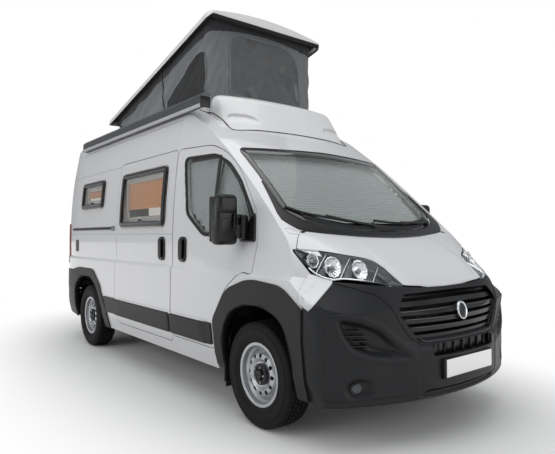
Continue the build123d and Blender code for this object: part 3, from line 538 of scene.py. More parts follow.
def joinPieces(name, pieces, body="body", slotName="dark_plastic"):
    # one mesh from several finished ones, keeping their materials
    work = bmesh.new()
    materials = []
    for piece in pieces:
        part = piece.data
        offsets = []
        for material in part.materials:
            if material not in materials:
                materials.append(material)
            offsets.append(materials.index(material))
        start = len(work.faces)
        work.from_mesh(part)
        work.faces.ensure_lookup_table()
        for face in work.faces[start:]:
            face.material_index = offsets[face.material_index] if offsets else 0
        bpy.data.objects.remove(piece)
    mesh = bpy.data.meshes.new(name)
    work.to_mesh(mesh)
    work.free()
    for material in materials:
        mesh.materials.append(material)
    whole = addObject(name, mesh)
    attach(whole, body)
    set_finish(whole, slotName)
    return whole


def mirrorPiece(piece, name, body="body"):
    mesh = piece.data.copy()
    mesh.transform(Matrix.Scale(-1, 4, (1, 0, 0)))
    mesh.flip_normals()
    twin = addObject(name, mesh)
    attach(twin, body)
    if "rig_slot" in piece:
        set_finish(twin, piece["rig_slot"])
    return twin


def roundedBox(name, corner0, corner1, bevel, material, segments=3):
    # box in mm (x, s, z) with rounded edges
    (x0, s0, z0), (x1, s1, z1) = corner0, corner1
    corners = [at(x, s, z) for z in (z0, z1) for s in (s0, s1) for x in (x0, x1)]
    piece = makePiece(name, corners, boxFaces, material, smooth=False)
    applyModifiers(
        piece, [("BEVEL", {"width": bevel / 1000, "segments": segments, "limit_method": "NONE"})]
    )
    piece.data.shade_smooth()
    fixNormals(piece)
    return piece


def middleOf(outline):
    return sum((Vector(p) for p in outline), Vector((0, 0))) / len(outline)


def plate(name, outline, place, levels, material, body="body", slotName="dark_plastic"):
    # raised or dished plate on an outline of (u, v) in mm
    # levels are (inset, lift) in mm from the edge to the middle
    centre = middleOf(outline)
    reach = sum((Vector(p) - centre).length for p in outline) / len(outline)
    count = len(outline)
    rings = [(max(0.0, 1 - inset / reach), lift) for inset, lift in levels]
    edge, top = rings[-1]
    parts = 6 if count > 12 else 2
    rings += [(edge * (1 - part / parts), top) for part in range(1, parts)]
    vertices = []
    for share, lift in rings:
        for p in outline:
            q = centre + (Vector(p) - centre) * share
            vertices.append(place(q.x, q.y, lift))
    middle, last = len(vertices), len(vertices) - count
    vertices.append(place(centre.x, centre.y, top))
    faces = wrapFaces(len(rings), count, False)
    faces += [[last + i, last + (i + 1) % count, middle] for i in range(count)]
    faces.append(list(reversed(range(count))))
    return makePiece(name, vertices, faces, material, body, slotName)


# repeated things: one tree sets copies round a ring, the other on given points
def startTree(name, sizes):
    tree = bpy.data.node_groups.new(name, "GeometryNodeTree")
    for label, kind in sizes:
        tree.interface.new_socket(label, in_out="INPUT", socket_type=kind)
    tree.interface.new_socket("Geometry", in_out="OUTPUT", socket_type="NodeSocketGeometry")
    return tree, addNode(tree, "NodeGroupInput").outputs


def copiesAt(tree, inputs, points, extra=None):
    info = addNode(tree, "GeometryNodeObjectInfo", None, {"Object": inputs["Piece"]})
    wanted = {"Points": points, "Instance": info.outputs["Geometry"], **(extra or {})}
    return addNode(tree, "GeometryNodeInstanceOnPoints", None, wanted).outputs[0]


def endTree(tree, instances, inputs):
    real = addNode(tree, "GeometryNodeRealizeInstances", None, {"Geometry": instances})
    finished = addNode(
        tree, "GeometryNodeSetMaterial", None, {"Geometry": real.outputs[0], "Material": inputs["Material"]}
    )
    addNode(tree, "NodeGroupOutput", None, {"Geometry": finished.outputs[0]})


def makeRingTree():
    tree, inputs = startTree(
        "ringOfCopies",
        [("Piece", "NodeSocketObject"), ("Count", "NodeSocketInt"), ("Radius", "NodeSocketFloat"),
         ("Place", "NodeSocketVector"), ("Phase", "NodeSocketVector"), ("Material", "NodeSocketMaterial")],
    )
    ring = addNode(
        tree, "GeometryNodeMeshCircle", None, {"Vertices": inputs["Count"], "Radius": inputs["Radius"]}
    )
    upright = addNode(
        tree, "GeometryNodeTransform", None, {"Geometry": ring.outputs[0], "Rotation": (0, math.pi / 2, 0)}
    )
    where = addNode(tree, "GeometryNodeInputPosition").outputs[0]
    facing = addNode(
        tree, "FunctionNodeAlignRotationToVector", {"axis": "Z", "pivot_axis": "X"}, {"Vector": where}
    )
    copies = copiesAt(tree, inputs, upright.outputs[0], {"Rotation": facing.outputs[0]})
    placed = addNode(
        tree, "GeometryNodeTransform", None,
        {"Geometry": copies, "Translation": inputs["Place"], "Rotation": inputs["Phase"]},
    )
    endTree(tree, placed.outputs[0], inputs)
    return tree


ringTree = makeRingTree()


def growTree(name, tree, values):
    # runs a tree on an empty mesh and keeps the result as a plain mesh
    piece = makePiece(name, [(0, 0, 0)], [], values["Material"])
    modifier = piece.modifiers.new("nodes", "NODES")
    modifier.node_group = tree
    for item in tree.interface.items_tree:
        if item.item_type == "SOCKET" and item.in_out == "INPUT":
            modifier[item.identifier] = values[item.name]
    shaped = piece.evaluated_get(bpy.context.evaluated_depsgraph_get())
    result = bpy.data.meshes.new_from_object(shaped)
    piece.modifiers.clear()
    piece.data = result
    return piece


def dropPiece(piece):
    bpy.data.objects.remove(piece)


# tyres: carcass turned from its section, tread of lugs in five ribs
tyre = {
    "radius": 364, "carcass": 356,
    "section": [
        (74, 206), (81, 214), (95, 228), (104, 250), (109, 280), (109, 306), (105, 330), (98, 345),
        (92, 353), (84, 356)
    ],
    "ribs": [(0, 30, 66), (-35, 24, 66), (35, 24, 66), (-74, 30, 60), (74, 30, 60)], "segments": 120
}


def turnSection(name, rows, segments, material):
    # turns (x, radius) rows in mm about the X axis; a closed section
    vertices, faces, count = [], [], len(rows)
    for i in range(segments):
        angle = 2 * math.pi * i / segments
        for x, r in rows:
            vertices.append((x / 1000, r * math.cos(angle) / 1000, r * math.sin(angle) / 1000))
    for i in range(segments):
        j = (i + 1) % segments
        for k in range(count):
            m = (k + 1) % count
            faces.append([i * count + k, j * count + k, j * count + m, i * count + m])
    piece = makePiece(name, vertices, faces, material)
    fixNormals(piece)
    return piece


def makeTyre():
    section = tyre["section"]
    inner = [(-70, 216), (-88, 240), (-96, 280), (-88, 335), (88, 335), (96, 280), (88, 240), (70, 216)]
    carcass = turnSection(
        "carcass", section + [(-x, r) for x, r in reversed(section)] + inner, tyre["segments"], tyreRubber
    )
    parts = [carcass]
    for number, (middle, width, count) in enumerate(tyre["ribs"]):
        deep = 2 * math.pi * tyre["radius"] / count * 0.82
        skew = 0.25 * deep * (1 if number % 2 else -1)
        low, high = tyre["carcass"] - 6, tyre["radius"]
        shoulder = 5 if abs(middle) > 60 else 0
        vertices = []
        for r in (low, high):
            for sy in (-0.5, 0.5):
                for sx in (-0.5, 0.5):
                    drop = shoulder if r == high and sx * middle > 0 else 0
                    vertices.append(
                        (
                            (middle + sx * width) / 1000, (sy * deep + skew * sx * 2) / 1000,
                            (r - tyre["radius"] - drop) / 1000
                        )
                    )
        lug = makePiece("lug", vertices, boxFaces, tyreRubber, smooth=False)
        applyModifiers(lug, [("BEVEL", {"width": 0.0015, "segments": 1})])
        parts.append(
            growTree("rib", ringTree, {
                "Piece": lug, "Count": count, "Radius": tyre["radius"] / 1000, "Place": (0, 0, 0),
                "Phase": (0.02 * number, 0, 0), "Material": tyreRubber,
            })
        )
        dropPiece(lug)
    # raised rings on the side wall
    for r, x in ((318, 108.6), (252, 105.0)):
        for side in (1, -1):
            foot, top = side * (x - 2), side * (x + 1.2)
            section = [(foot, r - 3), (top, r - 1.5), (top, r + 1.5), (foot, r + 3)]
            parts.append(turnSection("ring", section, 90, tyreRubber))
    return joinPieces("tyreMaster", parts, "body", "tyre")


def makeWheelTrim():
    # dark centre cap over the hub and five nuts
    cap = turnSection(
        "cap", [(60, 30), (82, 33), (86, 28), (88, 20), (89, 0.5), (60, 0.5)], 48, smoothPlastic
    )
    hub = turnSection("hub", [(60, 74), (73, 72), (76, 66), (76, 32), (60, 32)], 60, smoothPlastic)
    hexagon = circle(0, 0, 9.5, 6)
    vertices = [(x / 1000, a / 1000, b / 1000) for x in (60, 84) for a, b in hexagon]
    vertices += [(88 / 1000, a * 0.7 / 1000, b * 0.7 / 1000) for a, b in hexagon]
    faces = [[i + r, (i + 1) % 6 + r, (i + 1) % 6 + 6 + r, i + 6 + r] for r in (0, 6) for i in range(6)]
    faces.append(list(range(12, 18)))
    nut = makePiece("nut", vertices, faces, zincSteel, smooth=False)
    nuts = growTree(
        "nuts", ringTree,
        {
            "Piece": nut, "Count": 5, "Radius": 0.052, "Place": (0, 0, 0), "Phase": (0.3, 0, 0),
            "Material": zincSteel
        }
    )
    dropPiece(nut)
    return joinPieces("wheelTrimMaster", [cap, hub, nuts], "body", "rim_silver")


wheelPlaces = [
    ("FrontRight", "front_right", -1, frontAxle, 1810),
    ("FrontLeft", "front_left", 1, frontAxle, 1810),
    ("RearRight", "rear_right", -1, rearAxle, 1790),
    ("RearLeft", "rear_left", 1, rearAxle, 1790),
]
tyreMaster = makeTyre()
trimMaster = makeWheelTrim()
for label, nodeEnd, side, s, track in wheelPlaces:
    place = Matrix.Translation(at(side * track / 2, s, tyre["radius"])) @ Matrix.Rotation(
        0 if side > 0 else math.pi, 4, "Z"
    )
    for master, word in ((tyreMaster, "tyre"), (trimMaster, "wheelTrim")):
        mesh = master.data.copy()
        mesh.transform(place)
        piece = addObject(word + label, mesh)
        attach(piece, "wheel_" + nodeEnd)
        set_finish(piece, "tyre" if word == "tyre" else "rim_silver")
        if word == "tyre":
            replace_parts(piece, "tyre_" + nodeEnd)
dropPiece(tyreMaster)
dropPiece(trimMaster)
print("stage: wheels dressed")

# tent: fabric walls from the roof opening up to the sleeping roof
tent = {
    "half": 637, "front": 2203, "rear": 4467, "corner": 70, "foot": 2524.6, "step": 16, "rows": 46,
    "wrinkle": 11.0, "band": 112,
}
shellTree = castTree("pop_roof")


def tentPath():
    corners = [
        (-tent["half"], tent["front"], tent["corner"]), (tent["half"], tent["front"], tent["corner"]),
        (tent["half"], tent["rear"], tent["corner"]), (-tent["half"], tent["rear"], tent["corner"])
    ]
    return roundOutline(corners, tent["step"])


def tentTop(x, s):
    hit, _, _, _ = shellTree.ray_cast(at(x, s, 2560), Vector((0, 0, 1)))
    return hit.z * 1000 - 3 if hit else 2700


def tentFold(x, s, z, top):
    # how far the cloth sags or folds away from the flat wall, in mm
    # it fades to nothing where the cloth is held, at its foot and under the roof
    height = max(top - tent["foot"], 1)
    share = (z - tent["foot"]) / height
    hold = min(1, share / 0.12) * min(1, (1 - share) / 0.1)
    frontWall = s < tent["front"] + 90
    if frontWall:
        sideways = min(1, max(0, (abs(x) - 330) / 150))
        slant = x * (1 if x > 0 else -1) + (z - 2600) * 0.35
        pleat = math.sin(slant / 13.0 + 3 * noise.noise(Vector((x / 160, z / 260, 3)))) * sideways
        soft = noise.noise(Vector((x / 130, z / 210, 7)))
        return hold * (tent["wrinkle"] * 0.55 * pleat + tent["wrinkle"] * 0.8 * soft - 6)
    slant = s + (z - 2550) * 1.5
    pleat = math.sin(slant / 55.0 + 5 * noise.noise(Vector((s / 420, z / 300, 1 if x > 0 else 5))))
    soft = noise.noise(Vector((s / 170, z / 150, 11 if x > 0 else 17)))
    return hold * (tent["wrinkle"] * 0.6 * pleat + tent["wrinkle"] * soft - 8)


def tentPoint(x, s, z, top, lift=0.0):
    out = tentFold(x, s, z, top) + lift
    nearFront, nearRear = s < tent["front"] + 40, s > tent["rear"] - 40
    dx = 0 if (nearFront or nearRear) and abs(x) < tent["half"] - 60 else (1 if x > 0 else -1)
    ds = -1 if nearFront else (1 if nearRear else 0)
    size = math.hypot(dx, ds) or 1
    return at(x + out * dx / size, s + out * ds / size, z)


def tentHeight(k, rows, bandRows, footRows, top):
    # rows stand closer in the dark band under the roof and at the foot
    band = min(tent["band"], (top - tent["foot"]) * 0.4)
    if k <= footRows:
        return tent["foot"] + 24 * k / footRows
    if k >= rows - bandRows:
        return top - band * (rows - k) / bandRows
    share = (k - footRows) / (rows - bandRows - footRows)
    return tent["foot"] + 24 + (top - band - tent["foot"] - 24) * share


def makeTent():
    path = tentPath()
    rows = tent["rows"]
    vertices, faces, indices = [], [], []
    tops = [tentTop(p.x, p.y) for p in path]
    bandRows, footRows = 8, 2
    for p, top in zip(path, tops):
        for k in range(rows + 1):
            vertices.append(tentPoint(p.x, p.y, tentHeight(k, rows, bandRows, footRows, top), top))
    count = len(path)
    for i in range(count):
        j = (i + 1) % count
        for k in range(rows):
            faces.append(
                [i * (rows + 1) + k, j * (rows + 1) + k, j * (rows + 1) + k + 1, i * (rows + 1) + k + 1]
            )
            indices.append(1 if k >= rows - bandRows or k < footRows else 0)
    piece = makePiece("tentWalls", vertices, faces, [tentCanvas, tentBand])
    for face, index in zip(piece.data.polygons, indices):
        face.material_index = index
    fixNormals(piece)
    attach(piece, "body")
    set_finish(piece, "tent_fabric")
    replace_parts(piece, "tent")
    return piece


tentPieces = [makeTent()]


def onTentFront(u, v, lift):
    return tentPoint(u, tent["front"], v, tentTop(u, tent["front"]), lift + 2)


def onTentSide(side):
    def place(u, v, lift):
        return tentPoint(side * tent["half"], u, v, tentTop(side * tent["half"], u), lift + 2)
    return place


frontWindow = roundOutline([(-400, 2668, 40), (-400, 3262, 130), (455, 3262, 330), (480, 2668, 40)], 22)
sideWindow = roundOutline(
    [(2262, 2632, 20), (3080, 2640, 20), (3084, 2745, 30), (2440, 3072, 120), (2262, 3066, 110)], 22
)
for label, outline, place, netting in (
    ("Front", frontWindow, onTentFront, frontMesh),
    ("Right", sideWindow, onTentSide(-1), insectMesh),
    ("Left", sideWindow, onTentSide(1), insectMesh),
):
    net = plate(
        "tentWindow" + label, outline, place, [(0, -1), (0, 1.2), (6, 1.5)], netting, "body", "tent_fabric"
    )
    path = [place(p.x, p.y, 1.5) for p in outline]
    normals = [(place(p.x, p.y, 20) - place(p.x, p.y, 0)) for p in outline]
    binding = strip(
        "tentBinding" + label, path, normals, [(-9, -1), (-7, 3), (0, 4.5), (7, 3), (9, -1)], tentCanvas,
        "body", "tent_fabric", closed=True
    )
    tentPieces += [net, binding]
strap = {"station": 3129, "foot": 2530, "lean": 60, "steps": 20}
for side, label in sides:
    place, steps = onTentSide(side), strap["steps"]
    rise = tentTop(side * tent["half"], 3180) - strap["foot"]
    path = [
        place(strap["station"] + strap["lean"] * k / steps, strap["foot"] + (rise - 4) * k / steps, 2)
        for k in range(steps + 1)
    ]
    profile = slopedBar(12, -1, 11, 2.5)
    normals = [Vector((side, 0, 0))] * len(path)
    tentPieces.append(strip("tentStrap" + label, path, normals, profile, tentBand, "body", "tent_fabric"))
for piece in tentPieces:
    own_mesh(piece)
print("stage: tent made")

# skins that trims are laid on
sideNodes = [
    "side_wall_{0}", "door_front_{0}", "front_wings", "cab_frame", "bumper_front", "roof_panel",
    "arch_mouldings", "door_rear_{0}", "bumper_rear",
]
sideTrees = {
    -1: castTree(*(n.format("right") for n in sideNodes), "sliding_door"),
    1: castTree(*(n.format("left") for n in sideNodes)),
}
screenTree = castTree("windscreen")


def sidePlace(side, tree=None):
    # (station, height, lift) to a point on the side skin; a miss keeps the last depth that was met
    last = {"x": side * 1.0, "n": Vector((side, 0, 0))}
    target = tree or sideTrees[side]

    def place(s, z, lift):
        found = onSide(target, s, z, side)
        if found:
            last["x"], last["n"] = found[0].x, found[1]
        point = Vector((last["x"], stationY(s), z / 1000))
        return point + last["n"] * lift / 1000
    return place


def endPlace(tree, side=-1):
    # (x, height, lift) to a point on the skin at the nose (side -1) or at the rear (side 1)
    last = {"y": side * vanLength / 2, "n": Vector((0, side, 0))}

    def place(x, z, lift):
        found = onEnd(tree, x, z, side)
        if found:
            last["y"], last["n"] = found[0].y, found[1]
        return Vector((x / 1000, last["y"], z / 1000)) + last["n"] * lift / 1000
    return place


def pathNormals(place, points):
    return [(place(u, v, 10) - place(u, v, 0)).normalized() for u, v in points]


def line(points, step=25):
    # open run of points spaced about step apart
    result = []
    for (u0, v0), (u1, v1) in zip(points, points[1:]):
        parts = max(1, int(math.hypot(u1 - u0, v1 - v0) / step))
        result += [(u0 + (u1 - u0) * k / parts, v0 + (v1 - v0) * k / parts) for k in range(parts)]
    return result + [points[-1]]


def smoothLine(points, rounds=3):
    for _ in range(rounds):
        cut = [points[0]]
        for (u0, v0), (u1, v1) in zip(points, points[1:]):
            cut += [
                (u0 * 0.75 + u1 * 0.25, v0 * 0.75 + v1 * 0.25),
                (u0 * 0.25 + u1 * 0.75, v0 * 0.25 + v1 * 0.75)
            ]
        points = cut + [points[-1]]
    return points


def layStrip(name, points, place, profile, material, body="body", slotName="dark_plastic"):
    path = [place(u, v, 0.0) for u, v in points]
    return strip(name, path, pathNormals(place, points), profile, material, body, slotName)


def frameRing(name, outline, place, width, height, material, body="body"):
    # flat ring with rounded edges round a window, width inwards
    centre = middleOf(outline)
    inner = []
    count = len(outline)
    for i, p in enumerate(outline):
        tangent = (Vector(outline[(i + 1) % count]) - Vector(outline[i - 1])).normalized()
        inward = Vector((-tangent.y, tangent.x))
        if inward.dot(centre - Vector(p)) < 0:
            inward = -inward
        inner.append(inward)
    vertices = []
    rings = [(0, -2), (0, height - 2), (2, height), (width - 3, height), (width, height - 2), (width, -6)]
    for inset, lift in rings:
        for p, inward in zip(outline, inner):
            q = Vector(p) + inward * inset
            vertices.append(place(q.x, q.y, lift))
    return makePiece(name, vertices, wrapFaces(len(rings), count), material, body, "dark_plastic")


# cab door windows: rubber surround, divider, corner panel, pleated blind
cabWindow = [(1024, 1296, 25), (1029, 1440, 60), (1250, 1741, 500), (1415, 1890, 400), (1615, 1985, 300),
             (2074, 2000, 60), (1969, 1500, 250), (1884, 1440, 120), (1699, 1318, 200)]
glassTrees = {
    -1: castTree("door_glass_right", "door_front_right"), 1: castTree("door_glass_left", "door_front_left")
}


def pleatedSheet(name, columns, rows, place, fold, acrossRows, body):
    # zigzag sheet; place(u, v, lift) gives the smooth surface or None
    vertices, faces, index = [], [], {}
    for i, u in enumerate(columns):
        for k, v in enumerate(rows):
            step = k if acrossRows else i
            point = place(u, v, fold if step % 2 else 0)
            if point is not None:
                index[i, k] = len(vertices)
                vertices.append(point)
    for i in range(len(columns) - 1):
        for k in range(len(rows) - 1):
            quad = [(i, k), (i + 1, k), (i + 1, k + 1), (i, k + 1)]
            if all(q in index for q in quad):
                faces.append([index[q] for q in quad])
    piece = makePiece(name, vertices, faces, blindCloth, smooth=False)
    work = openWork(piece)
    bmesh.ops.delete(work, geom=[v for v in work.verts if not v.link_faces], context="VERTS")
    closeWork(work, piece)
    width = (max(columns) - min(columns)) / 1000 * (1 if acrossRows else 1.25)
    height = (max(rows) - min(rows)) / 1000 * (1.25 if acrossRows else 1)
    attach(piece, body)
    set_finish(piece, "seat_fabric")
    return piece


def inside(outline, u, v):
    hit = False
    count = len(outline)
    for i in range(count):
        (u0, v0), (u1, v1) = outline[i - 1][:2], outline[i][:2]
        if (v0 > v) != (v1 > v) and u < (u1 - u0) * (v - v0) / (v1 - v0) + u0:
            hit = not hit
    return hit


for side, label in sides:
    body = "door_front_" + label.lower()
    outline = outlined(cabWindow, 22)
    place = sidePlace(side, glassTrees[side])
    frameRing("cabWindowSeal" + label, outline, place, 24, 6, sealRubber, body)
    divider = line([(1556, 1330), (1560, 1962)])
    layStrip(
        "cabWindowDivider" + label, divider, place,
        [(-17, -2), (-16, 6), (-3, 8), (3, 8), (16, 6), (17, -2)], smoothPlastic, body
    )
    layStrip(
        "quarterSeal" + label,
        smoothLine(
            [
                (1075, 1345), (1520, 1345), (1528, 1925), (1440, 1868), (1250, 1695), (1085, 1440),
                (1075, 1345)
            ],
            1
        ),
        place, slopedBar(5, -1, 4, 3), sealRubber, body
    )
    cornerPanel = outlined([(1000, 1276, 20), (1190, 1276, 30), (1180, 1330, 60), (1040, 1512, 30)], 14)
    plate("mirrorPanel" + label, cornerPanel, place, [(0, -2), (0, 8), (4, 12)], smoothPlastic, body)

    def blindPlace(s, z, lift, side=side, outline=outline, place=place):
        if not inside(outline, s, z):
            return None
        return place(s, z, 0) - Vector((side * (40 + lift) / 1000, 0, 0))
    columns, rows = [1040 + 12 * k for k in range(88)], [1300 + 50 * k for k in range(15)]
    pleatedSheet("cabBlind" + label, columns, rows, blindPlace, 6, False, body)

# door handles: dished pods with an upright grip
handle = {"width": 128, "height": 214, "mid": 1206, "grip": 34, "below": 26, "above": 18, "lock": 11}


def doorHandle(name, s, side, body):
    w, h, mid = handle["width"] / 2, handle["height"] / 2, handle["mid"]
    outline = rounded(s - w, s + w, mid - h, mid + h, 52, 10)
    place = sidePlace(side)
    pod = plate(
        "pod", outline, place, [(0, -2), (0, 7), (5, 13), (16, 13), (30, 3), (46, 1)], smoothPlastic, body
    )
    g, low, high = handle["grip"] / 2, mid - h + handle["below"], mid + h - handle["above"]
    bar = outlined([(s - g, low, 14), (s + g, low, 14), (s + g, high, 16), (s - g, high, 16)], 8)
    grip = plate("grip", bar, place, [(0, 2), (0, 20), (6, 27)], smoothPlastic, body)
    r, foot = handle["lock"], mid - h + handle["above"]
    lock = [(s + r * math.cos(k / 2), foot + r * math.sin(k / 2)) for k in range(12)]
    barrel = plate("lock", lock, place, [(0, 8), (0, 15), (3, 16)], zincSteel, body)
    return joinPieces(name, [pod, grip, barrel], body)


doorHandle("handleFrontRight", 2005, -1, "door_front_right")
doorHandle("handleFrontLeft", 2005, 1, "door_front_left")
doorHandle("handleSlidingDoor", 2392, -1, "body")

# sill cladding on the doors, in line with the strips behind
cladding = {"low": 484, "high": 652, "lift": 13}
for name, side, s0, s1, body in (
    ("claddingSlidingDoor", -1, 2194, 3474, "body"),
    ("claddingFrontRight", -1, 1500, 2174, "door_front_right"),
    ("claddingFrontLeft", 1, 1500, 2174, "door_front_left"),
):
    outline = rounded(s0, s1, cladding["low"], cladding["high"], 16, 40)
    plate(
        name, outline, sidePlace(side),
        [(0, -2), (0, cladding["lift"] - 4), (5, cladding["lift"]), (20, cladding["lift"] + 1)],
        grainedPlastic, body
    )

# camper windows: black acrylic frames with a catch bar, inner cassette and blind
camperWindows = [
    # name, side, front and rear station, low, high
    ("BigRight", -1, 2359, 3364, 1420, 1950),
    ("SmallRight", -1, 3938, 4643, 1655, 1950),
    ("BigLeft", 1, 2359, 3364, 1420, 1950),
    ("SmallLeft", 1, 3938, 4643, 1655, 1950),
]
camperFrame = {"over": 8, "width": 46, "height": 14, "barInset": 18, "deep": (44, 74), "blindDeep": 58}
blindTan = wovenMaterial(
    "foldingBlindCloth", "DB9C62", "E8AC74", 2.5, 0.1, {"Roughness": 0.8, "Sheen Weight": 0.2}
)
cassetteWhite = finishMaterial(
    "extrudedBlindCassette", "C9CACA", {"Roughness": 0.4}, grain=(40, 0.05, 1.0), tint=("B9BABB", 200, 0.5)
)
windowTrees = {
    -1: castTree("side_wall_right", "sliding_door", "sliding_door_window", "side_windows"),
    1: castTree("side_wall_left", "side_windows")
}
for label, side, s0, s1, z0, z1 in camperWindows:
    place = sidePlace(side, windowTrees[side])
    over, inset = camperFrame["over"], camperFrame["barInset"]
    outline = rounded(s0 - over, s1 + over, z0 - over, z1 + over, 50, 40)
    frameRing(
        "windowFrame" + label, outline, place, camperFrame["width"], camperFrame["height"], smoothPlastic
    )
    layStrip("windowFootBar" + label, line([(s0 + inset, z0 + 26), (s1 - inset, z0 + 26)], 60), place,
             [(-13, 8), (-12, 17), (12, 19), (14, 8)], anodised)
    layStrip("windowHeadBar" + label, line([(s0 + inset, z1 - 22), (s1 - inset, z1 - 22)], 60), place,
             slopedBar(10, 8, 9, 16), anodised)
    middle = (s0 + s1) / 2
    foot, top = z0 + 44, z0 + 62
    catch = outlined(
        [(middle - 45, foot, 8), (middle + 45, foot, 8), (middle + 30, top, 8), (middle - 30, top, 8)], 10
    )
    plate("windowCatch" + label, catch, place, [(0, 6), (0, 14), (3, 16)], smoothPlastic)
    x = onSide(windowTrees[side], middle, (z0 + z1) / 2, side)[0].x * 1000
    deep0, deep1 = sorted(x - side * deep for deep in camperFrame["deep"])
    bars = [
        (s0 + 30, z1 - 95, s1 - 30, z1 - 20), (s0 + 30, z0 + 30, s1 - 30, z0 + 95),
        (s0 + 20, z0 + 30, s0 + 66, z1 - 30), (s1 - 66, z0 + 30, s1 - 20, z1 - 30),
    ]
    cassette = [
        roundedBox("bar", (deep0, near, low), (deep1, far, high), 10, cassetteWhite)
        for near, low, far, high in bars
    ]
    joinPieces("blindCassette" + label, cassette)
    drop = z0 + (170 if z1 - z0 > 400 else 120)
    rows = [drop + (z1 - 60 - drop) * k / 40 for k in range(41)]
    columns = [s0 + 60 + (s1 - s0 - 120) * k / 6 for k in range(7)]
    x1 = x - side * camperFrame["blindDeep"]

    def tanPlace(s, z, lift, x1=x1, side=side):
        return at(x1 - side * lift, s, z)
    blind = pleatedSheet("windowBlind" + label, columns, rows, tanPlace, 5, True, "body")
    blind.data.materials[0] = blindTan

# sliding door rail, flaps, roof and waist seams, pressed lines
rail = {"front": 3583, "rear": 5045, "mid": 1404, "half": 17}
low, high = rail["mid"] - rail["half"], rail["mid"] + rail["half"]
outline = rounded(rail["front"], rail["rear"], low, high, 4, 40)
plate("slideRail", outline, sidePlace(-1), [(0, -1), (0, 7), (3, 8)], anodised)
layStrip(
    "slideRailSlot", line([(rail["front"] + 30, rail["mid"]), (rail["rear"] - 10, rail["mid"])], 50),
    sidePlace(-1), slopedBar(6, 6, 6, 8.8), sealRubber
)
bracket = rounded(rail["front"] - 30, rail["front"] + 34, rail["mid"] - 26, rail["mid"] + 26, 8, 10)
plate("slideRailBracket", bracket, sidePlace(-1), [(0, -1), (0, 12), (4, 16)], zincSteel)
flap = rounded(4770, 4856, 1127, 1273, 14, 14)
plate("powerInletFlap", flap, sidePlace(-1), [(0, -1), (0, 7), (4, 10), (12, 10), (16, 8)], smoothPlastic)
fuelFlap = rounded(2240, 2420, 760, 930, 40, 14)
plate(
    "fuelFlap", fuelFlap, sidePlace(1), [(0, -1), (0, 0.6), (1.5, 1.4)], whiteEnamel, "body", "body_paint"
)
grooves = [
    # pressed lines and sealed seams: name, side, front and rear station, height
    ("roofSeamRight", -1, 2200, 5200, 2352),
    ("roofSeamLeft", 1, 2200, 5200, 2352),
    ("waistSeamRight", -1, 3500, 5180, 2062),
    ("waistSeamLeft", 1, 2200, 5180, 2062),
    ("beltCreaseRight", -1, 3500, 5180, 1338),
    ("doorCreaseRight", -1, 2200, 3470, 1338),
]
seamProfile = slopedBar(3.5, -1, 3, 1.2)
# grey colour of the seam and crease strips: painted shade in their grooves
seamShadePaint = finishMaterial(
    "sealedSeamPaint", "B4B6B9", {"Roughness": 0.4, "Coat Weight": 0.5}, grain=(9, 0.1, 2.0)
)
for name, side, s0, s1, z in grooves:
    run = line([(s0, z), (s1, z)], 60)
    layStrip(name, run, sidePlace(side), seamProfile, seamShadePaint, "body", "body_paint")
print("stage: sides dressed")

# windscreen: printed border, wiper blades and the pleated blind behind
screen = {"halfTop": 812, "halfFoot": 830, "head": 2024, "corner": 1500, "base": 1346}
screenOutline = [
    (-screen["halfTop"] + 6, screen["head"] - 8, 60), (0, screen["head"] + 6, 3000),
    (screen["halfTop"] - 6, screen["head"] - 8, 60), (screen["halfFoot"] - 8, screen["corner"], 60),
    (700, 1412, 150), (380, screen["base"] + 12, 300), (-380, screen["base"] + 12, 300), (-700, 1412, 150),
    (-screen["halfFoot"] + 8, screen["corner"], 60)
]
screenPlace = endPlace(screenTree)
outline = outlined(screenOutline, 30)
frameRing("screenBorder", outline, screenPlace, 52, 1.6, ceramicBorder)


def screenBlindPlace(x, z, lift):
    if not inside(outline, x * 1.04, z - 12 if z < 1700 else z + 12):
        return None
    return screenPlace(x, z, 0) + Vector((0, (62 + lift) / 1000, -0.02))


columns, rows = [-800 + 50 * k for k in range(33)], [1372 + 9.5 * k for k in range(70)]
pleatedSheet("screenBlindPleats", columns, rows, screenBlindPlace, 5, True, "body")
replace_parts(bpy.data.objects["screenBlindPleats"], "screen_blind")
housing = line(
    [(-700, 1462), (-500, 1400), (-300, 1378), (0, 1372), (300, 1378), (500, 1400), (700, 1462)], 30
)
layStrip(
    "screenFootTrim", housing, screenPlace, [(-26, -1), (-24, 5), (0, 9), (24, 5), (26, -1)], grainedPlastic
)
wipers = [
    # foot, elbow and tip of the arm, then the blade
    ([(-120, 1384), (-330, 1412), (-520, 1452)], [(-805, 1516), (-690, 1470), (-500, 1440), (-210, 1400)]),
    ([(640, 1418), (500, 1410), (240, 1412)], [(-70, 1425), (120, 1410), (320, 1408), (600, 1438)]),
]
wiperParts = []
for bend, blade in wipers:
    arm = line(smoothLine(bend, 2), 30)
    wiperParts.append(layStrip("arm", arm, screenPlace, slopedBar(9, 10, 7, 24), smoothPlastic))
    run = line(smoothLine(blade, 2), 30)
    wiperParts.append(
        layStrip(
            "blade", run, screenPlace, [(-2, 1.5), (-9, 10), (-7, 18), (7, 18), (9, 10), (2, 1.5)],
            sealRubber
        )
    )
    wiperParts.append(
        plate("pivot", circle(*bend[0], 22, 20), screenPlace, [(0, -6), (0, 22), (5, 28)], smoothPlastic)
    )
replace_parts(joinPieces("wiperPair", wiperParts), "wipers")

# nose skins: sheets ruled between two edges and laid on the CAD surface
noseTree = castTree(
    "bonnet", "headlamps", "front_wings", "bumper_front", "cowl", "cab_frame", "windscreen", "grille"
)


def smoothRun(points, rounds=2):
    points = [Vector(p) for p in points]
    for _ in range(rounds):
        cut = [points[0]]
        for a, b in zip(points, points[1:]):
            cut += [a.lerp(b, 0.25), a.lerp(b, 0.75)]
        points = cut + [points[-1]]
    return points


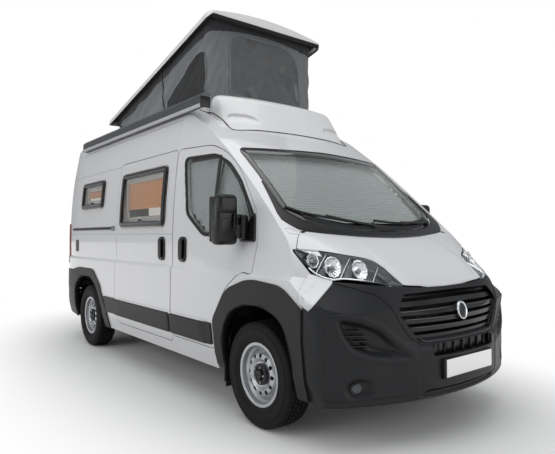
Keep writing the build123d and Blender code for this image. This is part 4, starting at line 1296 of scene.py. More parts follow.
def spaced(points, count):
    # count + 1 points at equal steps along a run
    points = [Vector(p) for p in points]
    runs = [0.0]
    for a, b in zip(points, points[1:]):
        runs.append(runs[-1] + (b - a).length)
    result, k = [], 0
    for i in range(count + 1):
        want = runs[-1] * i / count
        while k < len(points) - 2 and runs[k + 1] < want:
            k += 1
        result.append(points[k].lerp(points[k + 1], (want - runs[k]) / max(runs[k + 1] - runs[k], 1e-9)))
    return result


def bothSides(points):
    # a run given on the right side down to the middle, carried on over the left side
    return [Vector(p) for p in points] + [Vector((-p[0], p[1], p[2])) for p in reversed(points[:-1])]


probe = {"back": 0.35, "reach": 0.75, "missed": 1.0, "lifts": 4}  # metres, and sweeps that lift points


def ruledSkin(first, second, columns, shares, direction, tree, flatten=2, reaches=(1, 2, 3), limit=0.005):
    # columns of points between two runs of (x, s, z), dropped on the tree along direction
    # a dropped point that lies deeper than its neighbours is lifted to them, and then all are evened out
    a, b = spaced(first, columns), spaced(second, columns)
    inward = Vector(direction).normalized()
    rows = len(shares)
    starts, depths = [], []
    for i in range(columns + 1):
        for share in shares:
            start = at(*a[i].lerp(b[i], share)) - inward * probe["back"]
            hit, _, _, distance = tree.ray_cast(start, inward, probe["reach"])
            starts.append(start)
            depths.append(distance if hit is not None else probe["missed"])
    for sweep in range(probe["lifts"] + flatten):
        base = list(depths)
        for i in range(columns + 1):
            for k in range(rows):
                pairs = []
                for reach in reaches:
                    if i >= reach and i + reach <= columns:
                        pairs.append((base[(i - reach) * rows + k] + base[(i + reach) * rows + k]) / 2)
                    if k >= reach and k + reach < rows:
                        pairs.append((base[i * rows + k - reach] + base[i * rows + k + reach]) / 2)
                if not pairs:
                    m = (i + (1 if i == 0 else -1)) * rows + k
                    pairs = [base[m]]
                here = base[i * rows + k]
                if sweep < probe["lifts"]:
                    if here > min(pairs) + limit:
                        depths[i * rows + k] = min(pairs)
                elif 0 < i < columns and 0 < k < rows - 1:
                    depths[i * rows + k] = here * 0.5 + (pairs[0] + pairs[1]) * 0.25
    grid = [
        [starts[i * rows + k] + inward * depths[i * rows + k] for k in range(rows)]
        for i in range(columns + 1)
    ]
    normals = []
    for i in range(columns + 1):
        line = []
        for k in range(rows):
            along = grid[min(i + 1, columns)][k] - grid[max(i - 1, 0)][k]
            across = grid[i][min(k + 1, rows - 1)] - grid[i][max(k - 1, 0)]
            normal = along.cross(across)
            normal = normal.normalized() if normal.length > 1e-9 else -inward
            line.append(normal if normal.dot(inward) < 0 else -normal)
        normals.append(line)
    return grid, normals


def gridPiece(name, grid, material, thickness, body="body", slotName="dark_plastic"):
    rows = len(grid[0])
    vertices = [p for column in grid for p in column]
    faces = [[i * rows + k, (i + 1) * rows + k, (i + 1) * rows + k + 1, i * rows + k + 1]
             for i in range(len(grid) - 1) for k in range(rows - 1)]
    piece = makePiece(name, vertices, faces, material)
    fixNormals(piece)
    applyModifiers(piece, [("SOLIDIFY", {"thickness": thickness, "offset": 0})])
    piece.data.shade_smooth()
    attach(piece, body)
    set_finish(piece, slotName)
    return piece


def lifted(grid, normals, lift):
    # lift in mm, a number or a function of (column, row, point)
    reach = lift if callable(lift) else (lambda i, k, p: lift)
    return [
        [p + normals[i][k] * reach(i, k, p) / 1000 for k, p in enumerate(column)]
        for i, column in enumerate(grid)
    ]


evenly = [k / 40 for k in range(41)]
downBack = (0, 0.62, -0.78)

# bonnet: its front edge runs down the seams, along the lamps and across the nose
bonnetRear = bothSides(
    [
        (-803, 700, 1352), (-640, 655, 1336), (-487, 625, 1322), (-366, 604, 1310), (-156, 582, 1300),
        (0, 574, 1297)
    ]
)
bonnetFront = bothSides(
    [
        (-803, 700, 1352), (-850, 676, 1326), (-885, 649, 1297), (-922, 616, 1247), (-934, 604, 1234),
        (-811, 526, 1216), (-667, 424, 1191), (-560, 366, 1172), (-510, 334, 1152), (-481, 268, 1109),
        (-466, 192, 1049), (-450, 141, 1003), (-380, 134, 994), (-244, 132, 986), (0, 130, 983)
    ]
)
bonnetSwell = {"height": 6.0, "half": 455, "edge": 46}


def bonnetLift(i, k, p):
    # slightly raised middle with a soft edge, fading out towards the rear
    x, s = abs(p.x) * 1000, p.y * 1000 + vanLength * 500
    half = bonnetSwell["half"] - 70 * max(0.0, (330 - s) / 200)
    share = min(1.0, max(0.0, (half - x) / bonnetSwell["edge"] + 0.5))
    fade = min(1.0, max(0.0, (s - 140) / 60)) * min(1.0, max(0.0, (600 - s) / 260))
    return 2.5 + bonnetSwell["height"] * share * share * (3 - 2 * share) * fade


grid, normals = ruledSkin(bonnetRear, bonnetFront, 150, evenly, downBack, noseTree, 3)
bonnetSkin = gridPiece(
    "bonnetSkin", lifted(grid, normals, bonnetLift), whiteEnamel, 0.0025, "bonnet", "body_paint"
)
# the rear corners stop short, to leave room beside the cab frame
work = openWork(bonnetSkin)
cornerX, cornerY = 0.778, stationY(685)
corners = [
    f for f in work.faces if abs(f.calc_center_median().x) > cornerX and f.calc_center_median().y > cornerY
]
bmesh.ops.delete(work, geom=corners, context="FACES")
closeWork(work, bonnetSkin)
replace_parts(bonnetSkin, "bonnet")
edge = [column[-1] for column in grid]
edgeNormals = [row[-1] for row in normals]
seamEnd = int(len(edge) * 0.085)
for label, part in (("Right", slice(0, seamEnd)), ("Left", slice(len(edge) - seamEnd, len(edge)))):
    strip("bonnetSeam" + label, edge[part], edgeNormals[part], slopedBar(4, -1, 4, 1.3), sealRubber)


# cowl and the dark corners beside the screen
def onNose(points):
    found = []
    for x, z in points:
        hit = onEnd(noseTree, x, z)
        found.append((x, hit[0].y * 1000 + vanLength * 500, z))
    return found


cowlOuter = bothSides(
    onNose(
        [
            (-834, 1720), (-866, 1580), (-903, 1440), (-868, 1400), (-803, 1350), (-640, 1330),
            (-487, 1318), (-366, 1306), (-156, 1296), (0, 1293)
        ]
    )
)
cowlInner = bothSides(
    onNose(
        [
            (-824, 1720), (-824, 1590), (-818, 1500), (-765, 1442), (-700, 1410), (-540, 1380),
            (-380, 1357), (-190, 1349), (0, 1345)
        ]
    )
)
grid, normals = ruledSkin(
    smoothRun(cowlOuter, 1), smoothRun(cowlInner, 1), 130, [k / 10 for k in range(11)], downBack, noseTree
)
gridPiece(
    "cowlPanel", lifted(grid, normals, lambda i, k, p: 0.8 + 1.6 * min(1, k / 3)), smoothPlastic, 0.002
)

# headlamps: clear lens over a deep tray with three fluted bowls, dividers and a bright foot
lampTop = [
    (-948, 619, 1229), (-811, 517, 1210), (-667, 415, 1185), (-560, 357, 1167), (-503, 325, 1148),
    (-473, 263, 1104), (-458, 190, 1045), (-450, 138, 1000)
]
lampFoot = [
    (-948, 619, 1229), (-928, 526, 1130), (-898, 456, 1066), (-846, 378, 1036), (-795, 342, 1046),
    (-725, 278, 1040), (-616, 193, 1019), (-500, 142, 1002), (-450, 138, 1000)
]
lamp = {
    "columns": 90, "inward": (0.5, 0.62, -0.6), "deep": 52, "flutes": 12,
    "bowls": [(0.20, 0.50, 50), (0.385, 0.50, 70), (0.60, 0.47, 68)], "dividers": [0.285, 0.485, 0.735],
    "shares": [0, 0.025, 0.06, 0.12, 0.2, 0.3, 0.4, 0.5, 0.6, 0.7, 0.8, 0.88, 0.94, 0.975, 1],
}


def trayLift(i, k, p):
    width = (lampGrid[i][0] - lampGrid[i][-1]).length * 1000
    share = lamp["shares"][k]
    bend = 1 - abs(2 * share - 1) ** 6
    return 0.6 - lamp["deep"] * bend * min(1.0, width / 95)


def reflector(hit, normal, radius):
    axis = (normal * 0.7 + Vector((-0.1, -0.7, 0.0))).normalized()
    mouth = hit - normal * 0.012
    across = axis.cross(Vector((0, 0, 1))).normalized()
    upward = across.cross(axis)
    vertices = []
    rings, spokes = 9, lamp["flutes"] * 6
    for k in range(rings):
        share = 1 - k / rings
        for i in range(spokes):
            angle = 2 * math.pi * i / spokes
            r = radius / 1000 * share * (1 + 0.035 * math.cos(lamp["flutes"] * angle) * share)
            depth = 0.036 * (1 - share**2)
            vertices.append(
                mouth + across * r * 0.8 * math.cos(angle) + upward * r * math.sin(angle) - axis * depth
            )
    faces = wrapFaces(rings, spokes, False)
    faces.append([(rings - 1) * spokes + i for i in range(spokes)])
    bowl = makePiece("bowl", vertices, faces, mirrorAluminium)
    applyModifiers(bowl, [("SOLIDIFY", {"thickness": 0.0015, "offset": 0})])
    bulb = bmesh.new()
    bmesh.ops.create_uvsphere(bulb, u_segments=20, v_segments=12, radius=0.015)
    tip = pieceFromWork("bulb", bulb, zincSteel)
    tip.data.transform(Matrix.Translation(mouth - axis * 0.016))
    tip.data.shade_smooth()
    return [bowl, tip]


def lampPoint(share, row):
    # point and normal on the lens at a share along it and down it
    i = min(int(share * lamp["columns"]), lamp["columns"])
    k = min(range(len(lamp["shares"])), key=lambda n: abs(lamp["shares"][n] - row))
    return lampGrid[i][k], lampNormals[i][k]


lampGrid, lampNormals = ruledSkin(
    smoothRun(lampTop, 2), smoothRun(lampFoot, 2), lamp["columns"], lamp["shares"], lamp["inward"],
    noseTree, 3
)
lens = gridPiece("lensRight", lifted(lampGrid, lampNormals, 2.2), clearLens, 0.003, "body", "glass")
tray = gridPiece("trayRight", lifted(lampGrid, lampNormals, trayLift), lampBezel, 0.0015, "body", "glass")
inner = []
for share, row, radius in lamp["bowls"]:
    inner += reflector(*lampPoint(share, row), radius)
for share in lamp["dividers"]:
    i = int(share * lamp["columns"])
    inner.append(
        strip(
            "divider", lampGrid[i][1:-1], lampNormals[i][1:-1], slopedBar(3.5, -34, 2, -7), mirrorAluminium,
            "body", "glass"
        )
    )
footRun = range(int(0.2 * lamp["columns"]), int(0.93 * lamp["columns"]))
inner.append(
    strip(
        "foot", [lampGrid[i][-3] for i in footRun], [lampNormals[i][-3] for i in footRun],
        slopedBar(7, -20, 5, -8), mirrorAluminium, "body", "glass"
    )
)
rightLamp = joinPieces("headlampRight", [tray] + inner, "body", "glass")
mirrorPiece(rightLamp, "headlampLeft")
lens.name = lens.data.name = "headlampLensRight"
mirrorPiece(lens, "headlampLensLeft")
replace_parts(lens, "headlamps")

# white corner of the wing between lamp, bumper and arch
cornerLow = [
    (-838, 374, 1036), (-850, 366, 1018), (-900, 364, 982), (-948, 364, 943), (-1004, 372, 886),
    (-1028, 388, 866)
]
cornerHigh = [
    (-918, 500, 1078), (-948, 492, 1056), (-986, 490, 1020), (-1018, 486, 980), (-1034, 480, 935),
    (-1037, 470, 900)
]
grid, normals = ruledSkin(
    smoothRun(cornerLow, 2), smoothRun(cornerHigh, 2), 30, [k / 18 for k in range(19)], (0.62, 0.68, -0.3),
    noseTree, 3, (1, 2, 3, 5)
)
corner = gridPiece(
    "wingCornerRight", lifted(grid, normals, lambda i, k, p: 2.6 - 1.6 * k / 18), whiteEnamel, 0.0022,
    "body", "body_paint"
)
mirrorPiece(corner, "wingCornerLeft")
# white strip over the joint between wing, cowl and pillar
fillHigh = onNose([(-912, 1370), (-870, 1364), (-832, 1356), (-810, 1349)])
fillLow = onNose([(-912, 1334), (-870, 1328), (-840, 1328), (-820, 1336)])
grid, normals = ruledSkin(
    fillHigh, fillLow, 20, [k / 8 for k in range(9)], downBack, noseTree, 2, (1, 2, 3)
)
filler = gridPiece("pillarFootRight", lifted(grid, normals, 1.1), whiteEnamel, 0.0016, "body", "body_paint")
mirrorPiece(filler, "pillarFootLeft")

# bumper: a finer copy of the CAD bumper, with side pockets, lamp wells, a lower slot
# and a fuller middle
pocket = outlined(
    [
        (-940, 832, 30), (-800, 806, 120), (-680, 752, 120), (-585, 672, 60), (-452, 566, 20),
        (-600, 570, 120), (-735, 590, 90), (-845, 636, 80), (-900, 712, 60)
    ],
    22
)
lowSlot = outlined([(-432, 312, 8), (-356, 368, 10), (356, 368, 10), (432, 312, 8)], 40)
bumper = {
    "edge": 0.0165, "pocketDeep": 44, "pocketRamp": 36, "lip": 6, "lipWidth": 34, "swell": 40,
    "fog": (-806, 405), "fogHalf": (82, 60), "fogDeep": 26, "slotDeep": 24, "slotRamp": 12,
}


def soft(value):
    value = min(1.0, max(0.0, value))
    return value * value * (3 - 2 * value)


def edgeDistance(outline, u, v):
    # distance to the outline in mm, positive inside
    best = 1e9
    for (u0, v0), (u1, v1) in zip(outline, outline[1:] + outline[:1]):
        du, dv = u1 - u0, v1 - v0
        t = min(1.0, max(0.0, ((u - u0) * du + (v - v0) * dv) / (du * du + dv * dv + 1e-9)))
        best = min(best, math.hypot(u - u0 - t * du, v - v0 - t * dv))
    return best if inside(outline, u, v) else -best


def bumperRelief(x, z):
    # millimetres inwards at (x, z)
    u = -abs(x)
    sink = 0.0
    if -1000 < u < -410 and 520 < z < 880:  # the pocket and the lip round it
        d = edgeDistance(pocket, u, z)
        if d > 0:
            sink += bumper["pocketDeep"] * soft(d / bumper["pocketRamp"]) * (
                0.35 + 0.65 * soft((-u - 500) / 160)
            )
        elif d > -bumper["lipWidth"]:
            sink -= bumper["lip"] * math.sin(math.pi * -d / bumper["lipWidth"])
    if z < 480 and u < -680:  # the well of the fog lamp
        du, dv = (u - bumper["fog"][0]) / bumper["fogHalf"][0], (
            z - bumper["fog"][1]
        ) / bumper["fogHalf"][1]
        sink += bumper["fogDeep"] * soft((1.15 - math.hypot(du, dv)) / 0.5)
    if z < 390 and u > -450:  # the slot under the plate
        sink += bumper["slotDeep"] * soft(edgeDistance(lowSlot, u, z) / bumper["slotRamp"])
    # the middle stands out further than on the CAD bumper
    sink -= bumper["swell"] * soft((660 + u) / 380) * soft((z - 300) / 90) * soft((672 - z) / 60)
    return sink


def bumperInward(x):
    return Vector((-0.55 * x, 0.9, 0)).normalized()


def sculptBumper():
    work = openWork(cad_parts["bumper_front"])
    bmesh.ops.remove_doubles(work, verts=work.verts, dist=0.0001)
    low, high = at(-1010, -20, 292), at(1010, 330, 880)

    def near(e):
        a, b = e.verts[0].co, e.verts[1].co
        return all(min(a[n], b[n]) < high[n] and max(a[n], b[n]) > low[n] for n in range(3))
    for _ in range(10):
        long = [e for e in work.edges if near(e) and e.calc_length() > bumper["edge"]]
        if not long:
            break
        bmesh.ops.subdivide_edges(work, edges=long, cuts=1, use_grid_fill=False)
        bmesh.ops.triangulate(work, faces=[f for f in work.faces if len(f.verts) > 3])
    for v in work.verts:
        if v.co.y < high.y and low.z < v.co.z < high.z:
            sink = bumperRelief(v.co.x * 1000, v.co.z * 1000) / 1000
            if sink:
                v.co += bumperInward(v.co.x) * sink
    piece = pieceFromWork("bumperSkin", work, grainedPlastic)
    piece.data.shade_smooth()
    piece.data.set_sharp_from_angle(angle=math.radians(38))
    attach(piece, "body")
    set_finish(piece, "dark_plastic")
    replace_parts(piece, "bumper_front")
    return piece


bumperSkin = sculptBumper()
cheekFirst = [
    (-972, 300, 852), (-940, 262, 852), (-860, 206, 852), (-700, 134, 852), (-560, 86, 850), (-424, 50, 846)
]
cheekSecond = [(x, s, 338) for x, s, z in cheekFirst]
cheekRows = [k / 44 for k in range(45)]
grid, normals = ruledSkin(
    cheekFirst, cheekSecond, 52, cheekRows, (0.42, 0.9, 0), castTree("bumper_front"), 2,
    (1, 2, 3, 5, 8, 12, 16, 22)
)
plainCheek = gridPiece("plainCheek", grid, grainedPlastic, 0.001)
cheekPlace = endPlace(castTree(plainCheek))
dropPiece(plainCheek)


def cheekPoint(i, k, p, normal):
    sink = bumperRelief(p.x * 1000, p.z * 1000) / 1000
    return p + bumperInward(p.x) * sink + normal * 0.0016


cheek = gridPiece(
    "bumperCheekRight",
    [[cheekPoint(i, k, p, normals[i][k]) for k, p in enumerate(column)] for i, column in enumerate(grid)],
    grainedPlastic, 0.0016
)
cheekLeft = mirrorPiece(cheek, "bumperCheekLeft")
skinPlace = endPlace(castTree(bumperSkin, cheek, cheekLeft))
print("stage: nose skins laid")

# grille: mesh behind the slats, plain badge, bright lines on the slats
grille = {"low": 684, "high": 940, "pitchAcross": 30, "pitchUp": 17, "back": 34}
bumperTree = castTree("bumper_front", "grille")
grillePlace = endPlace(castTree("grille"))


def grilleHalf(z):
    return 418 + (z - 668) / 182 * 150 if z < 850 else 568 - (z - 850) / 102 * 90


def makeGrilleMesh():
    points = []
    bar = []
    for k in range(int((grille["high"] - grille["low"]) / grille["pitchUp"]) + 1):
        z = grille["low"] + k * grille["pitchUp"]
        half = grilleHalf(z) - 10
        run = [(-half + 2 * half * i / 36, z) for i in range(37)]
        path = [grillePlace(x, v, 0) for x, v in run]
        y = [p.y for p in path]
        smooth = [
            Vector((p.x, min(y[max(0, i - 2): i + 3]) + grille["back"] / 1000, p.z))
            for i, p in enumerate(path)
        ]
        bar.append(
            strip(
                "meshBar", smooth, [Vector((0, -1, 0))] * len(run), slopedBar(1.6, -4, 1.6, 4),
                smoothPlastic
            )
        )
        for i in range(-18, 19):
            x = i * grille["pitchAcross"] + (k % 2) * grille["pitchAcross"] / 2
            if abs(x) < half - 6:
                near = min(range(len(run)), key=lambda n: abs(run[n][0] - x))
                points.append((x / 1000, smooth[near].y, (z + grille["pitchUp"] / 2) / 1000))
    half = (0.0016, 0.004, 0.0085)
    corners = [(x * half[0], y * half[1], z * half[2]) for z in (-1, 1) for y in (-1, 1) for x in (-1, 1)]
    post = makePiece("post", corners, boxFaces, smoothPlastic, smooth=False)
    posts = scatter("meshPosts", points, post, smoothPlastic)
    dropPiece(post)
    return joinPieces("grilleMesh", bar + [posts])


def makePointTree():
    tree, inputs = startTree(
        "copiesOnPoints",
        [("Piece", "NodeSocketObject"), ("Places", "NodeSocketObject"), ("Material", "NodeSocketMaterial")]
    )
    places = addNode(tree, "GeometryNodeObjectInfo", None, {"Object": inputs["Places"]})
    endTree(tree, copiesAt(tree, inputs, places.outputs["Geometry"]), inputs)
    return tree


pointTree = makePointTree()


def scatter(name, points, piece, material):
    places = makePiece("places", points, [], material)
    grown = growTree(name, pointTree, {"Piece": piece, "Places": places, "Material": material})
    dropPiece(places)
    return grown


makeGrilleMesh()
radiator = roundedBox("radiatorPanel", (-560, 262, 540), (560, 290, 965), 8, smoothPlastic)
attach(radiator, "body")
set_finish(radiator, "dark_plastic")
badgeSize = {"halfX": 52, "halfZ": 60, "z": 824}
badge = [(x * badgeSize["halfX"], badgeSize["z"] + z * badgeSize["halfZ"]) for x, z in circle(0, 0, 1, 32)]
hit = onEnd(bumperTree, 0, 786)[0]


def badgePlace(x, z, lift):
    return Vector((x / 1000, hit.y - (lift + 12) / 1000 + (z - badgeSize["z"]) * 0.00018, z / 1000))


plate("badgeRing", badge, badgePlace, [(0, -14), (0, 6), (3, 10), (9, 10), (12, 5)], mirrorAluminium)
plate(
    "badgeFace", [(x * 0.78, badgeSize["z"] + (z - badgeSize["z"]) * 0.8) for x, z in badge], badgePlace,
    [(0, 4), (2, 7), (20, 9)], smoothPlastic
)
slatShine = [(z, grilleHalf(z) - 24) for z in (743, 795, 846)]
for number, (z, half) in enumerate(slatShine):
    run = line([(-half, z), (half, z)], 40)
    layStrip("grilleBright" + str(number), run, grillePlace, slopedBar(3, -2, 3, 3), anodised)

# bumper trims: mask crease, slot ribs, pocket fins, fog lamps, plate
for side, label in sides:
    crease = smoothLine(
        [
            (side * 838, 1026), (side * 740, 992), (side * 640, 950), (side * 585, 850), (side * 500, 712),
            (side * 430, 652), (side * 350, 645)
        ],
        3
    )
    layStrip(
        "maskCrease" + label, crease, skinPlace, [(-9, -1), (-3, 4.5), (3, 5), (8, -1)], grainedPlastic
    )
    ridge = smoothLine([(side * 768, 676), (side * 700, 648), (side * 600, 610), (side * 500, 580)], 2)
    layStrip(
        "pocketRidge" + label, line(ridge, 18), skinPlace, [(-10, -2), (-3, 7), (3, 7), (12, -2)],
        grainedPlastic
    )
    if side < 0:
        fins = []
        for k, (near, far) in enumerate([(-868, -742), (-890, -756), (-906, -772), (-918, -800)]):
            z = 656 + 31 * k
            fins.append(layStrip("fin", line([(near, z), (far, z)], 18), cheekPlace,
                                 slopedBar(6, -40, 4, -13), smoothPlastic))
        fins = joinPieces("pocketFinsRight", fins)
        mirrorPiece(fins, "pocketFinsLeft")
    fx, fz = bumper["fog"]
    plate(
        "fogBezel" + label, circle(-side * fx, fz, 43, 28), skinPlace,
        [(0, -4), (0, 5), (4, 8), (11, 5), (14, 2)], smoothPlastic
    )
    plate(
        "fogReflector" + label, circle(-side * fx, fz, 30, 24), skinPlace,
        [(0, -2), (0, 4), (5, 7), (14, 5), (24, 3)], lampBezel, "body", "glass"
    )

rib = {"count": 8, "half": 318, "low": 562, "high": 646}
ribs = []
for k in range(rib["count"]):
    x = -rib["half"] + 2 * rib["half"] * k / (rib["count"] - 1)
    depth = skinPlace(x, 548, 0).y
    ribs.append(
        strip(
            "rib", [Vector((x / 1000, depth, z / 1000)) for z in (rib["low"], 604, rib["high"])],
            [Vector((0, -1, 0))] * 3, slopedBar(3, -30, 2, -12), smoothPlastic
        )
    )
ribs.append(roundedBox("back", (-352, 20, 552), (352, 30, 660), 3, smoothPlastic))
joinPieces("slotRibs", ribs)
layStrip("lowFin340", line([(-352, 340), (352, 340)], 30), skinPlace, slopedBar(4, -2, 3, 9), smoothPlastic)
lipRun = line(
    smoothLine([(-412, 676), (-385, 660), (-340, 655), (340, 655), (385, 660), (412, 676)], 2), 30
)
layStrip("maskLip", lipRun, skinPlace, [(-5, -1), (-4, 6), (3, 7), (6, -1)], lampBezel)

nose = skinPlace(0, 484, 0).y * 1000 + vanLength * 500
plateSize = {"half": 260, "low": 430, "high": 540}
half, low, high = plateSize["half"], plateSize["low"], plateSize["high"]
corners = (-half - 14, nose - 8, low - 10), (half + 14, nose + 40, high + 6)
holder = roundedBox("plateHolderFront", *corners, 6, smoothPlastic)
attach(holder, "body")
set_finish(holder, "dark_plastic")
corners = (-half, nose - 11, low), (half, nose - 7, high)
# the plate blank glows faintly through its emission: painted glow
blank = roundedBox("plateFront", *corners, 1.2, plateWhiteWithPaintedGlow)
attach(blank, "body")
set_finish(blank, "roof_plastic")
print("stage: nose dressed")

# door mirrors: base shell, cap, two arms, glasses, indicator
mirrorBoxes = {
    # two corners (x, s, z), bevel, material, bevel segments
    "shell": ((-1220, 1112, 1256), (-1040, 1212, 1600), 34, smoothPlastic, 5),
    "cap": ((-1214, 1098, 1470), (-1046, 1206, 1614), 38, smoothPlastic, 5),
    "backFrame": ((-1212, 1206, 1276), (-1056, 1240, 1600), 14, smoothPlastic, 3),
    "innerPanel": ((-1188, 1108, 1330), (-1104, 1122, 1446), 7, smoothPlastic, 3),
    "mainGlass": ((-1202, 1238, 1400), (-1066, 1244, 1588), 2, mirrorAluminium, 3),
    "wideGlass": ((-1202, 1238, 1290), (-1066, 1244, 1388), 2, mirrorAluminium, 3),
    "upperArm": ((-1060, 1110, 1440), (-1000, 1172, 1474), 12, smoothPlastic, 3),
    "lowerArm": ((-1070, 1104, 1310), (-985, 1180, 1404), 18, smoothPlastic, 3),
    "foot": ((-1024, 1086, 1296), (-972, 1176, 1470), 16, smoothPlastic, 3),
    "sideLens": ((-1221, 1126, 1392), (-1204, 1182, 1532), 8, clearLens, 3),
    "lensBack": ((-1212, 1130, 1398), (-1206, 1178, 1526), 3, mirrorAluminium, 3),
    "bulb": ((-1217, 1146, 1438), (-1211, 1162, 1464), 3, lampAmber, 3),
    "innerLens": ((-1100, 1104, 1356), (-1078, 1112, 1476), 4, clearLens, 3),
}
shells = [roundedBox(name, *values) for name, values in mirrorBoxes.items()]
mirrorRight = joinPieces("mirrorRight", shells, "door_front_right")
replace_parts(mirrorRight, "mirror_right")
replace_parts(mirrorPiece(mirrorRight, "mirrorLeft", "door_front_left"), "mirror_left")
print("stage: mirrors made")

# wheel arches: a dark lip turns inwards round each opening
archRows = {
    "front": (
        frontAxle,
        [(415, 230), (415, 560), (302, 770), (112, 845), (-118, 852), (-348, 775), (-415, 560), (-415, 330)]
    ),
    "rear": (
        rearAxle,
        [(-517, 300), (-510, 480), (-400, 720), (-180, 845), (180, 845), (400, 720), (486, 500), (486, 320)]
    )
}
archLip = {"depth": 66, "thick": 5}


def makeArchLip(name, axle, rows, side):
    points = smoothLine([(axle + ds, z) for ds, z in rows], 3)
    points = line(points, 20)
    place = sidePlace(side, castTree("arch_mouldings"))
    vertices = []
    centre = Vector((axle, 470))
    for s, z in points:
        outward = (Vector((s, z)) - centre).normalized()
        skinPoint = place(s + outward.x * 30, z + outward.y * 30, 0).x * 1000
        for grow, deep in (
            (2, -1), (2, archLip["depth"]), (-archLip["thick"], archLip["depth"]), (-archLip["thick"], 5),
            (-1, -3)
        ):
            q = Vector((s, z)) + outward * grow
            vertices.append(at(skinPoint - side * deep, q.x, q.y))
    size, count = 5, len(points)
    faces = wrapFaces(count, size, False) + endFaces(count, size)
    makePiece(name, vertices, faces, grainedPlastic, "body", "dark_plastic")


for side, label in sides:
    makeArchLip("archLipFront" + label, *archRows["front"], side)
    makeArchLip("archLipRear" + label, *archRows["rear"], side)

# fairing in front of the sleeping roof: bowed cap with two shallow vents
fairing = {
    "rearS": 2080, "low": 2150, "high": 2576, "halfLow": 742, "halfHigh": 668,
    "frontLow": 1628, "frontHigh": 1898,
    "columns": 220, "rows": 64, "vent": {"x": 532, "z": 2340, "halfX": 138, "halfZ": 40, "deep": 26},
    "power": 0.34, "bow": 52, "crown": 8,  # squareness of the plan, and how far its front and top bulge
    "foldOver": 0.8, "edgeFrom": 0.86, "edge": 46,  # where the top and the rounded edge start
}


def fairingPoint(u, v):
    # u runs from right to left round the plan, v from the foot up the front and over the top
    f = fairing
    climb = min(v / f["foldOver"], 1.0)
    z = f["low"] + (f["high"] - f["low"]) * climb
    half = f["halfLow"] + (f["halfHigh"] - f["halfLow"]) * climb**1.5
    front = f["frontLow"] + (f["frontHigh"] - f["frontLow"]) * climb
    over = max(0.0, (v - f["foldOver"]) / (1 - f["foldOver"]))
    angle = (u - 0.5) * math.pi
    power = f["power"]
    x = half * math.copysign(abs(math.sin(angle)) ** power, angle)
    bow = f["bow"] * (1 - (x / half) ** 2)
    depth = (f["rearS"] - front - f["bow"]) * abs(math.cos(angle)) ** power + bow
    s = f["rearS"] - depth
    edge = f["edge"]
    if climb > f["edgeFrom"]:
        turn = (climb - f["edgeFrom"]) / (1 - f["edgeFrom"])
        lean = 1 - math.sqrt(max(0.0, 1 - turn * turn))
        s += lean * edge * abs(math.cos(angle)) ** power
        x -= math.copysign(lean * edge * 0.5, x) * min(1, abs(x) / 300)
    crown = f["crown"] * (1 - (x / half) ** 2)
    z += crown * climb
    if over:
        s += (f["rearS"] - s) * over
        x *= 1 - 0.02 * over
    vent = f["vent"]
    dv = (z - vent["z"]) / vent["halfZ"]
    du = (abs(x) - vent["x"] - 12 * dv) / (vent["halfX"] - 24 * dv)
    inVent = max(0.0, 1 - (abs(du) ** 4 + abs(dv) ** 4)) if climb < 0.97 else 0.0
    sink = vent["deep"] * min(1.0, inVent * 3.0) * (0.6 + 0.4 * min(1, max(-1, dv)))
    return at(x, s + sink, z)


def makeFairing():
    columns, rows = fairing["columns"], fairing["rows"]
    vertices = [fairingPoint(i / columns, k / rows) for i in range(columns + 1) for k in range(rows + 1)]
    faces = []
    for i in range(columns):
        for k in range(rows):
            a = i * (rows + 1) + k
            faces.append([a, a + rows + 1, a + rows + 2, a + 1])
    piece = makePiece("roofFairing", vertices, faces, gelcoat)
    applyModifiers(piece, [("SOLIDIFY", {"thickness": 0.004, "offset": 1})])
    piece.data.shade_smooth()
    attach(piece, "body")
    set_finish(piece, "roof_plastic")
    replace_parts(piece, "roof_fairing")
    return piece


capJoint = [
    (-748, 2170, 2461), (-735, 2036, 2441), (-728, 1823, 2329), (-722, 1700, 2245), (-640, 1672, 2240),
    (-546, 1680, 2253), (-234, 1677, 2249)
]
jointFacing = [
    (-0.8, 0, 0.6), (-0.8, 0, 0.6), (-0.75, -0.3, 0.6), (-0.55, -0.6, 0.6), (-0.1, -0.8, 0.6),
    (0, -0.8, 0.6), (0, -0.8, 0.6)
]


def layCapJoint(capPiece):
    # dark strip where the cap meets the cab roof: painted shade standing in for the shadow gap under the
    # cap's foot
    skins = castTree("cab_frame", "roof_panel", capPiece)
    half = [(Vector(at(*p)), Vector(n)) for p, n in zip(capJoint, jointFacing)]
    both = half + [(Vector((-p.x, p.y, p.z)), Vector((-n.x, n.y, n.z))) for p, n in reversed(half)]
    path, facing = [], []
    for (p, n), (q, m) in zip(both, both[1:]):
        parts = max(1, int((q - p).length / 0.02))
        for k in range(parts):
            point, way = p.lerp(q, k / parts), n.lerp(m, k / parts).normalized()
            hit = skins.ray_cast(point + way * 0.12, -way, 0.24)[0]
            path.append(hit if hit else point)
            facing.append(way)
    for _ in range(4):
        path = [path[0]] + [(a + b * 2 + c) / 4 for a, b, c in zip(path, path[1:], path[2:])] + [path[-1]]
    # black strip along the foot: painted shade
    strip("fairingJoint", path, facing, slopedBar(5, -6, 4, 3), sealRubber)


layCapJoint(makeFairing())

# sleeping roof: felt liner under the shell
def makeLiner():
    work = openWork(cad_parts["pop_roof"])
    bmesh.ops.remove_doubles(work, verts=work.verts, dist=0.0001)
    bmesh.ops.recalc_face_normals(work, faces=work.faces)
    tilt = math.radians(13.4)
    down = Vector((0, -math.sin(tilt), -math.cos(tilt)))

    def keep(face):
        return face.normal.dot(down) > 0.3
    bmesh.ops.delete(work, geom=[f for f in work.faces if not keep(f)], context="FACES")
    for v in work.verts:
        v.co += v.normal * 0.0012
    piece = pieceFromWork("sleepingRoofLiner", work, linerFelt)
    applyModifiers(piece, [("SOLIDIFY", {"thickness": 0.001, "offset": 1})])
    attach(piece, "pop_roof")
    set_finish(piece, "dark_plastic")


makeLiner()

